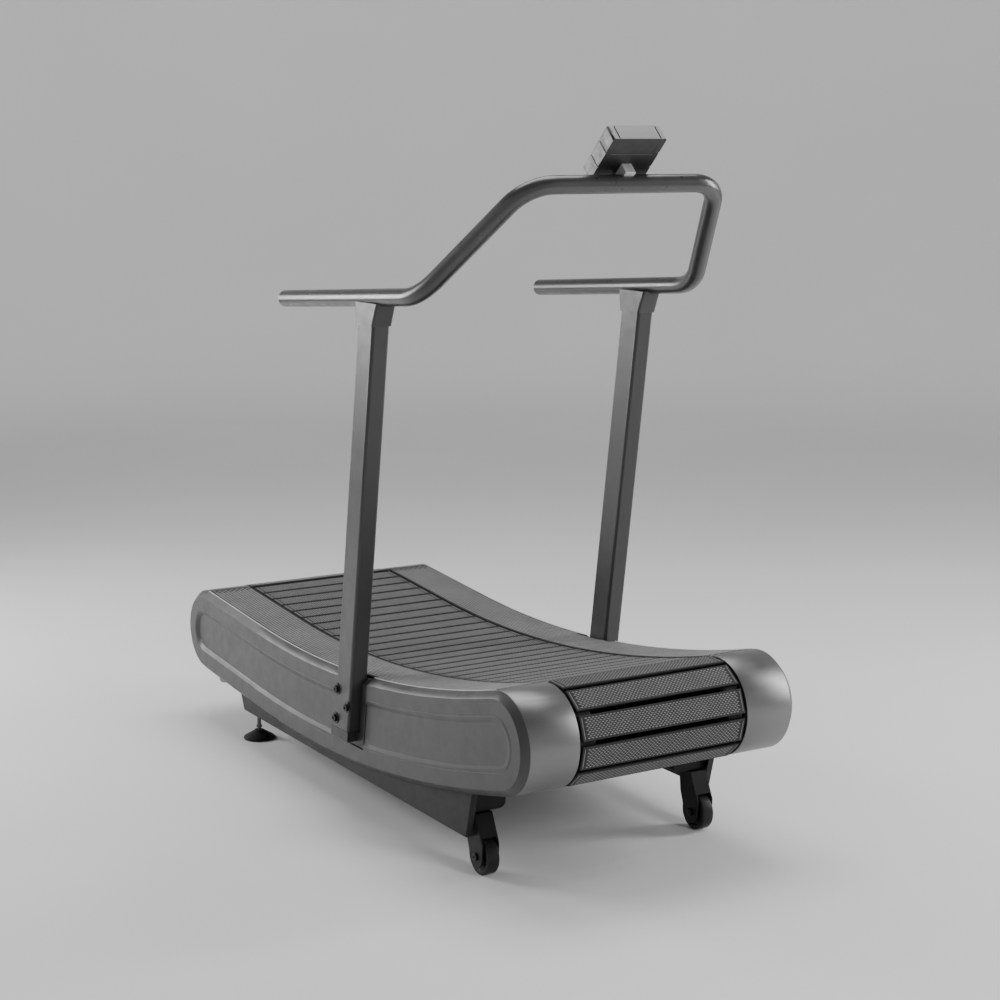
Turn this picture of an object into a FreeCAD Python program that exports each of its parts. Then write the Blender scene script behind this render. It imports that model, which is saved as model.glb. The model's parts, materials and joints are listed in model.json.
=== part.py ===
# Curved manual treadmill: an endless belt of slats runs over a concave bed of rollers and round
# two axles, between two long side casings. Two posts carry a one-piece handlebar with a console.
# Frame: +X forward, +Y left, +Z up, millimetres. The origin is on the floor, under the middle.
import FreeCAD, Part
import math
import os
import Sketcher
from FreeCAD import Matrix, Placement, Rotation, Vector

LEFT, RIGHT = 1, -1
SIDES = ((LEFT, "l"), (RIGHT, "r"))

# Driving dimensions in millimetres. Lateral values are distances from the middle plane.
DIMENSIONS = {
    # side outline: a concave deck arc, an arc round each axle and a belly arc
    "deck_radius": 3480, "deck_centre_x": -152, "deck_centre_z": 3815,
    "end_radius": 112, "nose_x": 775.5, "tail_x": -775.5, "tail_z": 261,
    # lateral stack
    "belt_half": 211, "opening_half": 218, "frame_inner": 222, "frame_outer": 228,
    "rail_outer": 339.5, "casing_outer": 355, "skin": 3,
    # side casing
    "casing_depth": 15.5, "casing_wall": 3, "casing_floor": 345.5,
    "recess_inset": 66, "recess_ramp": 12, "recess_depth": 4, "recess_rise": 3,
    "seam_width": 1.4, "seam_depth": 0.9,
    # foot rails and end caps
    "cap_wall": 2.5, "lip_wall": 2.5, "lip_depth": 20, "cap_gap": 0.5,
    "nose_split_x": 748, "tail_split_x": -772,
    # base rails and skirts
    "base_low": 138, "base_high": 198, "base_outer": 326, "base_rear_x": -640, "base_front_x": 606,
    "base_wall": 3, "base_corner": 16, "skirt_wall": 4, "skirt_low": 86,
    # posts, leaning forward
    "post_front_x": 158, "post_front_z": 336, "post_lean": 0.1546, "post_depth": 73,
    "post_inner": 335, "post_outer": 379.5, "post_wall": 3, "post_low": 212, "post_top": 1204,
    "post_corner": 7, "foot_plate": 12, "bolt_radius": 5, "bolt_hole_radius": 5.3,
    # post brackets and their slots in the casings
    "slot_low": 172, "slot_ahead": 35, "slot_behind": 15, "slot_gap": 2,
    "bracket_inner": 331, "bracket_outer": 353, "bracket_low": 208, "post_clearance": 9,
    "arm_rear_x": 62, "arm_front_x": 152, "arm_high": 298, "arm_wall": 5, "ledge_low": 186,
    # collars and handlebar
    "collar_low": 1178, "collar_high": 1230, "collar_wall": 2.5, "collar_flare": 14,
    "collar_corner": 5,
    "bar_radius": 20, "bar_bore": 17.5, "bar_y": 362, "bar_end_x": -195, "bar_end_z": 1209,
    "bar_bend_x": 470, "bar_bend_z": 1255, "bar_top_x": 713, "bar_top_z": 1494, "bar_top_y": 240,
    "bar_low_bend": 150, "bar_top_bend": 90,
    # slatted belt
    "slat_count": 62, "slat_width": 54, "belt_line": 9, "slat_plate_low": 8, "slat_plate_high": 4,
    "tread_high": 1, "rib_low": 22, "rib_half_width": 2.5, "rib_half_length": 165,
    "drive_belt_high": 8.15, "drive_belt_low": 12, "drive_belt_inner": 178, "drive_belt_outer": 206,
    # rollers under the top run
    "roller_count": 24, "roller_radius": 17.5, "roller_bore": 5.05, "pin_radius": 5,
    "roller_half_width": 7, "roller_y": 192, "roller_gap": 0.3, "roller_end_margin": 100,
    # axles
    "journal_radius": 12.45, "shaft_radius": 20, "shaft_half": 212, "axle_half": 262,
    "pulley_radius": 99.9, "pulley_flange": 102.5, "pulley_bore": 20,
    "bearing_bore": 12.5, "bearing_radius": 26, "housing_radius": 42, "housing_outer": 250,
    "bearing_inner": 231, "bearing_outer": 246,
    "lug_x": 92, "lug_thick": 10, "lug_half_height": 14, "lug_bolt_y": 10, "lug_bore": 5.05,
    # transport wheels
    "wheel_x": 618, "wheel_y": 290, "wheel_radius": 42.5, "wheel_half_width": 15,
    "wheel_bore": 5.06, "wheel_pin": 5, "fork_half_width": 22, "fork_wall": 4, "fork_end_radius": 26,
    # levelling feet
    "foot_x": -577, "foot_y": 285, "foot_radius": 42, "ball_radius": 7, "ball_z": 9,
    "socket_radius": 7.08, "stem_radius": 5, "stem_bore": 5.06, "stem_top": 190,
    # lift handle
    "lift_radius": 12.5, "lift_bore": 10.5, "lift_x": -828, "lift_z": 106, "lift_y": 292,
    "lift_root_z": 165, "lift_bend": 45,
    # console, in its own tilted frame
    "console_x": 712, "console_z": 1555, "console_tilt": 44, "console_long": 126,
    "console_wide": 134, "console_back": -16, "console_joint": 2, "console_face": 22,
    "console_wall": 2.5, "console_corner": 6, "cover_low": 16, "cover_half": 52, "cover_gap": 0.3,
    "window_low": -10, "window_high": 50, "window_half": 50, "lens_gap": 0.2,
    "button_x": -36, "button_pitch": 38, "button_radius": 8, "button_gap": 0.25,
    "button_depth": 8, "button_rise": 1.5, "button_flange": 2, "groove_width": 3, "groove_depth": 3,
    "cavity_half_x": 57, "cavity_half_y": 61, "cavity_corner": 3.5, "board_half_x": 52,
    "board_half_y": 58, "board_thick": 1.6, "module_high": 15,
}

NOSE_Z = ("(Dims.deck_centre_z - sqrt((Dims.deck_radius + Dims.end_radius)^2"
          " - (Dims.nose_x - Dims.deck_centre_x)^2))")

doc = FreeCAD.newDocument("CurvedTreadmill")
sheet = doc.addObject("Spreadsheet::Sheet", "Dims")
nodes = []


def fill_sheet():
    """Write every driving dimension into the sheet, with its name as the alias."""
    for row, (name, value) in enumerate(DIMENSIONS.items(), start=1):
        sheet.set(f"A{row}", name)
        sheet.set(f"B{row}", str(value))
        sheet.setAlias(f"B{row}", name)
    doc.recompute()


def number(expression):
    """The value of an expression over the dimension sheet."""
    result = sheet.evalExpression(str(expression))
    return float(getattr(result, "Value", result))


# ---------------------------------------------------------------- sketches and features

def new_body(label):
    """A PartDesign body that becomes one node."""
    body = doc.addObject("PartDesign::Body", label)
    body.Label = label
    nodes.append(body)
    return body


def new_sketch(body, plane, offset="0"):
    """A sketch on one of the body's origin planes, moved along the plane's normal."""
    sketch = body.newObject("Sketcher::SketchObject", body.Name + "_sketch")
    support = next(item for item in body.Origin.OriginFeatures if item.Role == plane + "_Plane")
    sketch.AttachmentSupport = [(support, "")]
    sketch.MapMode = "FlatFace"
    sketch.setExpression("AttachmentOffset.Base.z", offset)
    return sketch


def side_sketch(body, side, distance):
    """A sketch parallel to the XZ plane, on the given side of the middle plane."""
    return new_sketch(body, "XZ", f"{-side} * ({distance})")


def constrain(sketch, kind, places, expression):
    """Add a dimension to a sketch and bind it to the sheet."""
    index = sketch.addConstraint(Sketcher.Constraint(kind, *places, number(expression)))
    sketch.setExpression(f"Constraints[{index}]", str(expression))


def fix_point(sketch, geometry, position, x, y):
    """Hold one point of a sketch at (x, y)."""
    constrain(sketch, "DistanceX", (-1, 1, geometry, position), x)
    constrain(sketch, "DistanceY", (-1, 1, geometry, position), y)


def add_polygon(sketch, corners):
    """A closed polygon with every corner bound to the sheet."""
    points = [Vector(number(x), number(y), 0) for x, y in corners]
    first = sketch.GeometryCount
    count = len(points)
    for index, point in enumerate(points):
        sketch.addGeometry(Part.LineSegment(point, points[(index + 1) % count]), False)
    for index, (x, y) in enumerate(corners):
        following = first + (index + 1) % count
        sketch.addConstraint(Sketcher.Constraint("Coincident", first + index, 2, following, 1))
        fix_point(sketch, first + index, 1, x, y)


def add_rectangle(sketch, x_low, x_high, y_low, y_high):
    add_polygon(sketch, [(x_low, y_low), (x_high, y_low), (x_high, y_high), (x_low, y_high)])


def add_circle(sketch, x, y, radius):
    """A circle with its centre and radius bound to the sheet."""
    centre = Vector(number(x), number(y), 0)
    circle = sketch.addGeometry(Part.Circle(centre, Vector(0, 0, 1), number(radius)), False)
    fix_point(sketch, circle, 3, x, y)
    constrain(sketch, "Radius", (circle,), radius)


def add_rounded_rectangle(sketch, x_low, x_high, y_low, y_high, radius):
    """A rectangle with four equal corner arcs."""
    left, right, low, high, r = (number(v) for v in (x_low, x_high, y_low, y_high, radius))
    first = sketch.GeometryCount
    up = Vector(0, 0, 1)
    corners = ((right - r, low + r, -90), (right - r, high - r, 0),
               (left + r, high - r, 90), (left + r, low + r, 180))
    for x, y, start in corners:
        circle = Part.Circle(Vector(x, y, 0), up, r)
        arc = Part.ArcOfCircle(circle, math.radians(start), math.radians(start + 90))
        sketch.addGeometry(arc, False)
    for index in range(4):
        begin = sketch.Geometry[first + index].EndPoint
        end = sketch.Geometry[first + (index + 1) % 4].StartPoint
        line = sketch.addGeometry(Part.LineSegment(begin, end), False)
        sketch.addConstraint(Sketcher.Constraint("Tangent", first + index, 2, line, 1))
        sketch.addConstraint(Sketcher.Constraint("Tangent", line, 2, first + (index + 1) % 4, 1))
        upright = index in (0, 2)
        sketch.addConstraint(Sketcher.Constraint("Vertical" if upright else "Horizontal", line))
        if index:
            sketch.addConstraint(Sketcher.Constraint("Equal", first, first + index))
    constrain(sketch, "Radius", (first,), radius)
    constrain(sketch, "DistanceX", (-1, 1, first + 4, 1), x_high)
    constrain(sketch, "DistanceX", (-1, 1, first + 6, 1), x_low)
    constrain(sketch, "DistanceY", (-1, 1, first + 5, 1), y_high)
    constrain(sketch, "DistanceY", (-1, 1, first + 7, 1), y_low)


def pad(body, sketch, length, side=RIGHT, symmetric=False):
    """Extrude a sketch. On a side sketch, LEFT and RIGHT both mean away from the middle."""
    feature = body.newObject("PartDesign::Pad", body.Name + "_pad")
    feature.Profile = sketch
    feature.setExpression("Length", length)
    feature.Reversed = side == LEFT
    if symmetric:
        feature.SideType = "Symmetric"
    doc.recompute()
    return feature


def pocket(body, sketch, depth=None, side=RIGHT):
    """Cut a sketch through everything, or outward from its plane to the given depth."""
    before = body.Shape.Volume
    feature = body.newObject("PartDesign::Pocket", body.Name + "_pocket")
    feature.Profile = sketch
    if depth is None:
        feature.Type = "ThroughAll"
        feature.SideType = "Symmetric"
    else:
        feature.setExpression("Length", depth)
        feature.Reversed = side == RIGHT
    doc.recompute()
    if body.Shape.Volume >= before:
        raise RuntimeError(body.Label + ": a pocket removed nothing")
    return feature


def loft(body, kind, lower, upper):
    """A ruled loft between two sketches with the same number of edges."""
    feature = body.newObject("PartDesign::" + kind, body.Name + "_loft")
    feature.Profile = lower
    feature.Sections = [upper]
    feature.Ruled = True
    doc.recompute()


def revolve(body, sketch):
    """Turn a sketch on the XY plane a full turn about its vertical axis, which lies along Y."""
    feature = body.newObject("PartDesign::Revolution", body.Name + "_turn")
    feature.Profile = sketch
    feature.ReferenceAxis = (sketch, ["V_Axis"])
    feature.Angle = 360
    doc.recompute()
    return feature


def dress(body, kind, size, wanted):
    """Fillet or chamfer the edges of the body's last feature that a test picks out."""
    base = body.Tip
    names = [f"Edge{i}" for i, edge in enumerate(base.Shape.Edges, start=1) if wanted(edge)]
    feature = body.newObject("PartDesign::" + kind, body.Name + "_dress")
    feature.Base = (base, names)
    feature.setExpression("Radius" if kind == "Fillet" else "Size", size)
    doc.recompute()


def place(item, x, y, z, rotation=None):
    """Put a node at (x, y, z), each bound to the sheet."""
    if rotation:
        item.Placement = Placement(Vector(), rotation)
    for axis, value in zip("xyz", (x, y, z)):
        item.setExpression("Placement.Base." + axis, str(value))


# ---------------------------------------------------------------- solids outside a body

def solid_node(label, shapes):
    """A node made of one or more solids that Part's own functions have built."""
    node = doc.addObject("Part::Feature", label)
    node.Label = label
    node.Shape = shapes[0] if len(shapes) == 1 else Part.makeCompound(shapes)
    nodes.append(node)
    return node


def rod(x, z, y_low, y_high, radius):
    """A solid cylinder along Y."""
    return Part.makeCylinder(radius, y_high - y_low, Vector(x, y_low, z), Vector(0, 1, 0))


def ring(x, z, y_low, y_high, outer, inner):
    """A plain ring along Y."""
    return rod(x, z, y_low, y_high, outer).cut(rod(x, z, y_low, y_high, inner))


def across(side, near, far):
    """The low and high Y of something between two distances from the middle plane."""
    return sorted((side * near, side * far))


def prism(outline, centre, height):
    """A straight prism about the Z axis, from an outline of (x, y) points."""
    points = [Vector(x, y, centre) for x, y in outline]
    return Part.Face(Part.makePolygon(points + points[:1])).extrude(Vector(0, 0, height))


def hexagon(across_flats):
    """Corner points of a regular hexagon."""
    reach = across_flats / math.sqrt(3)
    turns = [math.radians(60 * index) for index in range(6)]
    return [(reach * math.cos(turn), reach * math.sin(turn)) for turn in turns]


def rounded_path(points, radii):
    """A wire through the points, with an arc of the given radius at each inner corner."""
    edges = []
    start = points[0]
    for before, corner, after, radius in zip(points, points[1:], points[2:], radii):
        back = (before - corner).normalize()
        ahead = (after - corner).normalize()
        half_angle = back.getAngle(ahead) / 2
        reach = radius / math.tan(half_angle)
        inward = (back + ahead).normalize()
        middle = corner + inward * (radius / math.sin(half_angle) - radius)
        edges.append(Part.makeLine(start, corner + back * reach))
        edges.append(Part.Arc(corner + back * reach, middle, corner + ahead * reach).toShape())
        start = corner + ahead * reach
    edges.append(Part.makeLine(start, points[-1]))
    return Part.Wire(edges)


def swept(path, radius):
    """A round bar along a wire."""
    first = path.OrderedEdges[0]
    start = first.valueAt(first.FirstParameter)
    along = first.tangentAt(first.FirstParameter)
    section = Part.Wire(Part.makeCircle(radius, start, along))
    return path.makePipeShell([section], True, True)


# ---------------------------------------------------------------- the side outline

def turned(vector, angle):
    """A vector in the sketch plane, turned anticlockwise."""
    cosine, sine = math.cos(angle), math.sin(angle)
    return Vector(vector.x * cosine - vector.y * sine, vector.x * sine + vector.y * cosine, 0)


def outline_geometry(inset):
    """Deck arc, nose arc, belly arc, belly line, tail arc and deck line, all tangent.

    The outline is moved inward by inset. Its plane has X along and Z up."""
    deck = Vector(number("Dims.deck_centre_x"), number("Dims.deck_centre_z"), 0)
    nose = Vector(number("Dims.nose_x"), number(NOSE_Z), 0)
    tail = Vector(number("Dims.tail_x"), number("Dims.tail_z"), 0)
    end_radius = number("Dims.end_radius") - inset
    deck_radius = number("Dims.deck_radius") + inset
    belly_radius = deck_radius + 2 * end_radius
    to_nose = (nose - deck).normalize()
    tail_distance = (tail - deck).Length
    to_tail = (tail - deck).normalize()
    top = turned(to_tail, math.acos((deck_radius + end_radius) / tail_distance))
    bottom = turned(to_tail, math.acos((belly_radius - end_radius) / tail_distance))

    def arc(centre, radius, start, end):
        first = math.atan2(start.y, start.x)
        last = math.atan2(end.y, end.x)
        if last < first:
            last += 2 * math.pi
        return Part.ArcOfCircle(Part.Circle(centre, Vector(0, 0, 1), radius), first, last)

    return [
        arc(deck, deck_radius, top, to_nose),
        arc(nose, end_radius, to_nose, to_nose * -1),
        arc(deck, belly_radius, bottom, to_nose),
        Part.LineSegment(deck + bottom * belly_radius, tail + bottom * end_radius),
        arc(tail, end_radius, top * -1, bottom),
        Part.LineSegment(tail - top * end_radius, deck + top * deck_radius),
    ]


def add_side_outline(sketch, inset):
    """The closed side outline, moved inward by inset and fully constrained."""
    first = sketch.GeometryCount
    sketch.addGeometry(outline_geometry(number(inset)), False)
    deck, nose, belly, low_line, tail, high_line = range(first, first + 6)
    joints = ((deck, 2, nose, 2), (nose, 1, belly, 2), (belly, 1, low_line, 1),
              (low_line, 2, tail, 2), (tail, 1, high_line, 1), (high_line, 2, deck, 1))
    for joint in joints:
        sketch.addConstraint(Sketcher.Constraint("Tangent", *joint))
    sketch.addConstraint(Sketcher.Constraint("Coincident", deck, 3, belly, 3))
    constrain(sketch, "Radius", (deck,), f"Dims.deck_radius + ({inset})")
    for end in (nose, tail):
        constrain(sketch, "Radius", (end,), f"Dims.end_radius - ({inset})")
    fix_point(sketch, deck, 3, "Dims.deck_centre_x", "Dims.deck_centre_z")
    fix_point(sketch, tail, 3, "Dims.tail_x", "Dims.tail_z")
    constrain(sketch, "DistanceX", (-1, 1, nose, 3), "Dims.nose_x")


def outline_wire(inset):
    """The side outline as a closed wire in the XZ plane, running forward along the deck."""
    edges = []
    for curve in outline_geometry(inset):
        edge = curve.toShape()
        edge.rotate(Vector(), Vector(1, 0, 0), 90)
        edges.append(edge)
    return Part.Wire(Part.sortEdges(edges)[0])


def stations(edges, count, start, end, closed):
    """Evenly spaced points along edges: each is a point, the forward direction and outward."""
    lengths = [edge.Length for edge in edges]
    gaps = count if closed else count - 1
    spots = [start + (end - start) * index / gaps for index in range(count)]
    found = []
    for spot in spots:
        index = 0
        while spot > lengths[index] and index < len(edges) - 1:
            spot -= lengths[index]
            index += 1
        edge = edges[index]
        if edge.Orientation == "Reversed":
            spot = lengths[index] - spot
        parameter = edge.getParameterByLength(spot)
        forward = edge.tangentAt(parameter)
        if edge.Orientation == "Reversed":
            forward = forward * -1
        found.append((edge.valueAt(parameter), forward, forward.cross(Vector(0, 1, 0))))
    return found


def at_station(shape, station):
    """A copy of a shape, with its X along the belt, its Y across and its Z outward."""
    point, forward, outward = station
    axes = (forward, Vector(0, 1, 0), outward)
    rows = [[axis[i] for axis in axes] + [point[i]] for i in range(3)]
    copy = shape.copy()
    copy.Placement = Placement(Matrix(*rows[0], *rows[1], *rows[2], 0, 0, 0, 1))
    return copy


def add_band(body, side, near, width, outer_inset, inner_inset):
    """A band that follows the side outline between two insets, padded away from the middle."""
    sketch = side_sketch(body, side, near)
    add_side_outline(sketch, outer_inset)
    add_side_outline(sketch, inner_inset)
    pad(body, sketch, width, side)


def keep_window(body, x_low, x_high, z_low, z_high):
    """Cut away everything outside a window in the side view."""
    sketch = side_sketch(body, RIGHT, "0")
    add_rectangle(sketch, "-1200", "1200", "-200", "900")
    add_rectangle(sketch, x_low, x_high, z_low, z_high)
    pocket(body, sketch)


# ---------------------------------------------------------------- posts: shared outlines

def post_x(z, ahead="0"):
    """X of the post's front edge at height z, moved forward by ahead."""
    return f"Dims.post_front_x + (({z}) - Dims.post_front_z) * Dims.post_lean + ({ahead})"


def leaning_strip(low, high, behind, ahead):
    """Corners of a strip parallel to the post: behind its rear edge to ahead of its front."""
    rear = f"-Dims.post_depth - ({behind})"
    return [(post_x(low, rear), low), (post_x(low, ahead), low),
            (post_x(high, ahead), high), (post_x(high, rear), high)]


def slot_outline(gap="0"):
    """The slot in the casing that the post bracket sits in, made smaller by gap."""
    return leaning_strip(f"Dims.slot_low + ({gap})", "380",
                         f"Dims.slot_behind - ({gap})", f"Dims.slot_ahead - ({gap})")


BOLT_PLACES = tuple((post_x(z, ahead), z) for z, ahead in (
    ("307", "-Dims.post_depth + 9.5"), ("234", "-Dims.post_depth + 9.5"), ("273", "-8")))
CABLE_Z = "320"
CABLE_X = post_x(CABLE_Z, "-Dims.post_depth / 2")


def drill_bolts(body, side):
    """The three clearance holes of a post's bolts."""
    sketch = side_sketch(body, side, "0")
    for x, z in BOLT_PLACES:
        add_circle(sketch, x, z, "Dims.bolt_hole_radius")
    pocket(body, sketch)


# ---------------------------------------------------------------- frame

def make_side_frame(side, letter):
    """Steel side plate that carries the axles and the rollers, with weight-saving windows."""
    body = new_body("side_frame_" + letter)
    plate = side_sketch(body, side, "Dims.frame_inner")
    add_side_outline(plate, "Dims.skin")
    pad(body, plate, "Dims.frame_outer - Dims.frame_inner", side)
    windows = side_sketch(body, side, "0")
    for x_low, x_high, middle in ((-680, -490, 249), (-370, -60, 224), (60, 370, 242), (490, 680, 300)):
        add_rounded_rectangle(windows, str(x_low), str(x_high), str(middle - 30), str(middle + 30), "20")
    add_circle(windows, "Dims.nose_x", NOSE_Z, "Dims.shaft_radius")
    add_circle(windows, "Dims.tail_x", "Dims.tail_z", "Dims.shaft_radius")
    pocket(body, windows)
    add_tension_lug(body, side)


def add_tension_lug(body, side):
    """Block on the outside of a side frame that the belt's tension bolt passes through."""
    lug = side_sketch(body, side, "Dims.frame_outer")
    add_rectangle(lug, "Dims.tail_x + Dims.lug_x", "Dims.tail_x + Dims.lug_x + Dims.lug_thick",
                  "Dims.tail_z - Dims.lug_half_height", "Dims.tail_z + Dims.lug_half_height")
    pad(body, lug, "2 * Dims.lug_bolt_y", side)
    bore = new_sketch(body, "YZ", "Dims.tail_x + Dims.lug_x")
    add_circle(bore, f"{side} * (Dims.frame_outer + Dims.lug_bolt_y)", "Dims.tail_z", "Dims.lug_bore")
    pocket(body, bore, "Dims.lug_thick", RIGHT)


def make_cross_members():
    """Three rectangular tubes inside the belt loop, welded between the side frames."""
    tubes = []
    middle_radius = number("Dims.deck_radius + Dims.end_radius")
    centre_x, centre_z = number("Dims.deck_centre_x"), number("Dims.deck_centre_z")
    half_length = number("Dims.frame_inner")
    half_x, half_z, wall = 30, 20, 3
    for x in (-430, 0, 430):
        z = centre_z - math.sqrt(middle_radius ** 2 - (x - centre_x) ** 2)
        outer = Part.makeBox(2 * half_x, 2 * half_length, 2 * half_z,
                             Vector(x - half_x, -half_length, z - half_z))
        inner = Part.makeBox(2 * (half_x - wall), 2 * half_length, 2 * (half_z - wall),
                             Vector(x - half_x + wall, -half_length, z - half_z + wall))
        tubes.append(outer.cut(inner))
    solid_node("cross_members", tubes)


def make_base_rail(side, letter):
    """Closed box rail that stands the machine on its wheels and feet."""
    body = new_body("base_rail_" + letter)
    near, far = (f"{side} * Dims.frame_outer", f"{side} * Dims.base_outer")
    left, right = (near, far) if side == LEFT else (far, near)
    outer = new_sketch(body, "YZ", "Dims.base_rear_x")
    add_rounded_rectangle(outer, left, right, "Dims.base_low", "Dims.base_high", "Dims.base_corner")
    pad(body, outer, "Dims.base_front_x - Dims.base_rear_x")
    inner = new_sketch(body, "YZ", "Dims.base_rear_x + Dims.base_wall")
    add_rounded_rectangle(inner, left + " + Dims.base_wall", right + " - Dims.base_wall",
                          "Dims.base_low + Dims.base_wall", "Dims.base_high - Dims.base_wall",
                          "Dims.base_corner - Dims.base_wall")
    pocket(body, inner, "Dims.base_front_x - Dims.base_rear_x - 2 * Dims.base_wall", RIGHT)
    stem_hole = new_sketch(body, "XY", "Dims.base_low - 1")
    add_circle(stem_hole, "Dims.foot_x", f"{side} * Dims.foot_y", "Dims.stem_bore")
    pocket(body, stem_hole, "Dims.base_wall + 2", RIGHT)


def make_skirt(side, letter):
    """Sheet-metal skirt on the base rail, with its front edge folded inward."""
    body = new_body("skirt_" + letter)
    panel = side_sketch(body, side, "Dims.base_outer")
    add_polygon(panel, [("-572", "Dims.skirt_low"), ("605", "Dims.skirt_low"), ("638", "214"),
                        ("420", "165"), ("-600", "165"), ("-594", "131")])
    pad(body, panel, "Dims.skirt_wall", side)
    fold = side_sketch(body, side, "Dims.base_outer - 12")
    add_polygon(fold, [("605 - Dims.skirt_wall", "Dims.skirt_low"), ("605", "Dims.skirt_low"),
                       ("638", "214"), ("638 - Dims.skirt_wall", "214 - Dims.skirt_wall")])
    pad(body, fold, "12 + Dims.skirt_wall", side)


# ---------------------------------------------------------------- casings, rails and caps

def make_side_casing(side, letter):
    """Dished side casing: a sloped rim, a long recess that fades forward, a slot for the post."""
    body = new_body("side_casing_" + letter)
    rim = side_sketch(body, side, "Dims.rail_outer")
    add_side_outline(rim, "0")
    face = side_sketch(body, side, "Dims.casing_outer")
    add_side_outline(face, "Dims.casing_depth")
    loft(body, "AdditiveLoft", rim, face)
    slant = "Dims.casing_wall * sqrt(2)"
    hollow_rim = side_sketch(body, side, "Dims.rail_outer")
    add_side_outline(hollow_rim, slant)
    hollow_floor = side_sketch(body, side, "Dims.casing_floor")
    add_side_outline(hollow_floor, f"{slant} + Dims.casing_floor - Dims.rail_outer")
    loft(body, "SubtractiveLoft", hollow_rim, hollow_floor)
    recess_floor = side_sketch(body, side, "Dims.casing_outer - Dims.recess_depth")
    recess_floor.setExpression("AttachmentOffset.Rotation.Axis.y", "1")
    recess_floor.setExpression("AttachmentOffset.Rotation.Axis.z", "0")
    recess_floor.setExpression("AttachmentOffset.Rotation.Angle",
                               f"{side} * atan(Dims.recess_rise / Dims.nose_x)")
    add_side_outline(recess_floor, "Dims.recess_inset")
    recess_top = side_sketch(body, side, "Dims.casing_outer + 1")
    add_side_outline(recess_top, "Dims.recess_inset - Dims.recess_ramp")
    loft(body, "SubtractiveLoft", recess_floor, recess_top)
    seam = side_sketch(body, side, "Dims.casing_outer - Dims.seam_depth")
    add_side_outline(seam, "Dims.recess_inset - Dims.recess_ramp - 2 * Dims.seam_width")
    add_side_outline(seam, "Dims.recess_inset - Dims.recess_ramp - Dims.seam_width")
    pocket(body, seam, "2 * Dims.seam_depth", side)
    slot = side_sketch(body, side, "0")
    add_polygon(slot, slot_outline())
    pocket(body, slot)


def make_foot_rail(side, letter):
    """Textured foot rail over the frame, with a lip beside the belt and a notch for the post."""
    body = new_body("foot_rail_" + letter)
    add_band(body, side, "Dims.opening_half", "Dims.rail_outer - Dims.opening_half", "0", "Dims.skin")
    add_band(body, side, "Dims.opening_half", "Dims.lip_wall", "Dims.skin", "Dims.lip_depth")
    keep_window(body, "Dims.tail_split_x", "Dims.nose_split_x", "300", "600")
    notch = side_sketch(body, side, "Dims.bracket_inner - 1")
    add_polygon(notch, slot_outline())
    pocket(body, notch, "30", side)


def make_end_cap(name, side, letter, x_low, x_high):
    """Satin metal cap that wraps the corner round an axle, with a lip beside the belt."""
    body = new_body(f"{name}_{letter}")
    add_band(body, side, "Dims.opening_half", "Dims.rail_outer - Dims.opening_half", "0", "Dims.cap_wall")
    add_band(body, side, "Dims.opening_half", "Dims.lip_wall", "Dims.cap_wall", "Dims.lip_depth")
    keep_window(body, x_low, x_high, "0", "700")


# ---------------------------------------------------------------- posts and handlebar

def make_post_bracket(side, letter):
    """Welded post mount: an arm from the side frame, a back plate, a shoe and a ledge for the post."""
    body = new_body("post_bracket_" + letter)
    shoe = side_sketch(body, side, "Dims.bracket_inner")
    low, gap = "Dims.slot_low + Dims.slot_gap", "Dims.slot_gap"
    rear = f"-Dims.post_depth - Dims.slot_behind + {gap}"
    add_polygon(shoe, [(post_x(low, rear), low), (post_x(low, f"Dims.slot_ahead - {gap}"), low),
                       (post_x("346", f"Dims.slot_ahead - {gap}"), "346"), (post_x("334", rear), "334")])
    pad(body, shoe, "Dims.bracket_outer - Dims.bracket_inner", side)
    dress(body, "Chamfer", "12", lambda edge: edge.BoundBox.ZMin > 330
          and abs(edge.CenterOfMass.y) > number("Dims.bracket_outer") - 1)
    channel = side_sketch(body, side, "Dims.post_inner")
    add_polygon(channel, leaning_strip("Dims.bracket_low", "400", "50", "Dims.post_clearance"))
    pocket(body, channel, "40", side)
    ledge = side_sketch(body, side, "Dims.bracket_outer")
    add_polygon(ledge, leaning_strip("Dims.ledge_low", "Dims.post_low - 1", "Dims.foot_plate", "0"))
    pad(body, ledge, "Dims.post_outer - Dims.bracket_outer", side)
    drill_bolts(body, side)
    cable_hole = side_sketch(body, side, "Dims.bracket_inner - 1")
    add_circle(cable_hole, CABLE_X, CABLE_Z, "5")
    pocket(body, cable_hole, "10", side)
    arm = side_sketch(body, side, "Dims.frame_outer")
    edges = ("Dims.arm_rear_x", "Dims.arm_front_x", "Dims.bracket_low", "Dims.arm_high")
    add_rounded_rectangle(arm, *edges, "10")
    inner = [f"{edge} {sign} Dims.arm_wall" for edge, sign in zip(edges, "+-+-")]
    add_rounded_rectangle(arm, *inner, "5")
    pad(body, arm, "Dims.bracket_inner - Dims.frame_outer", side)


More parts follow.
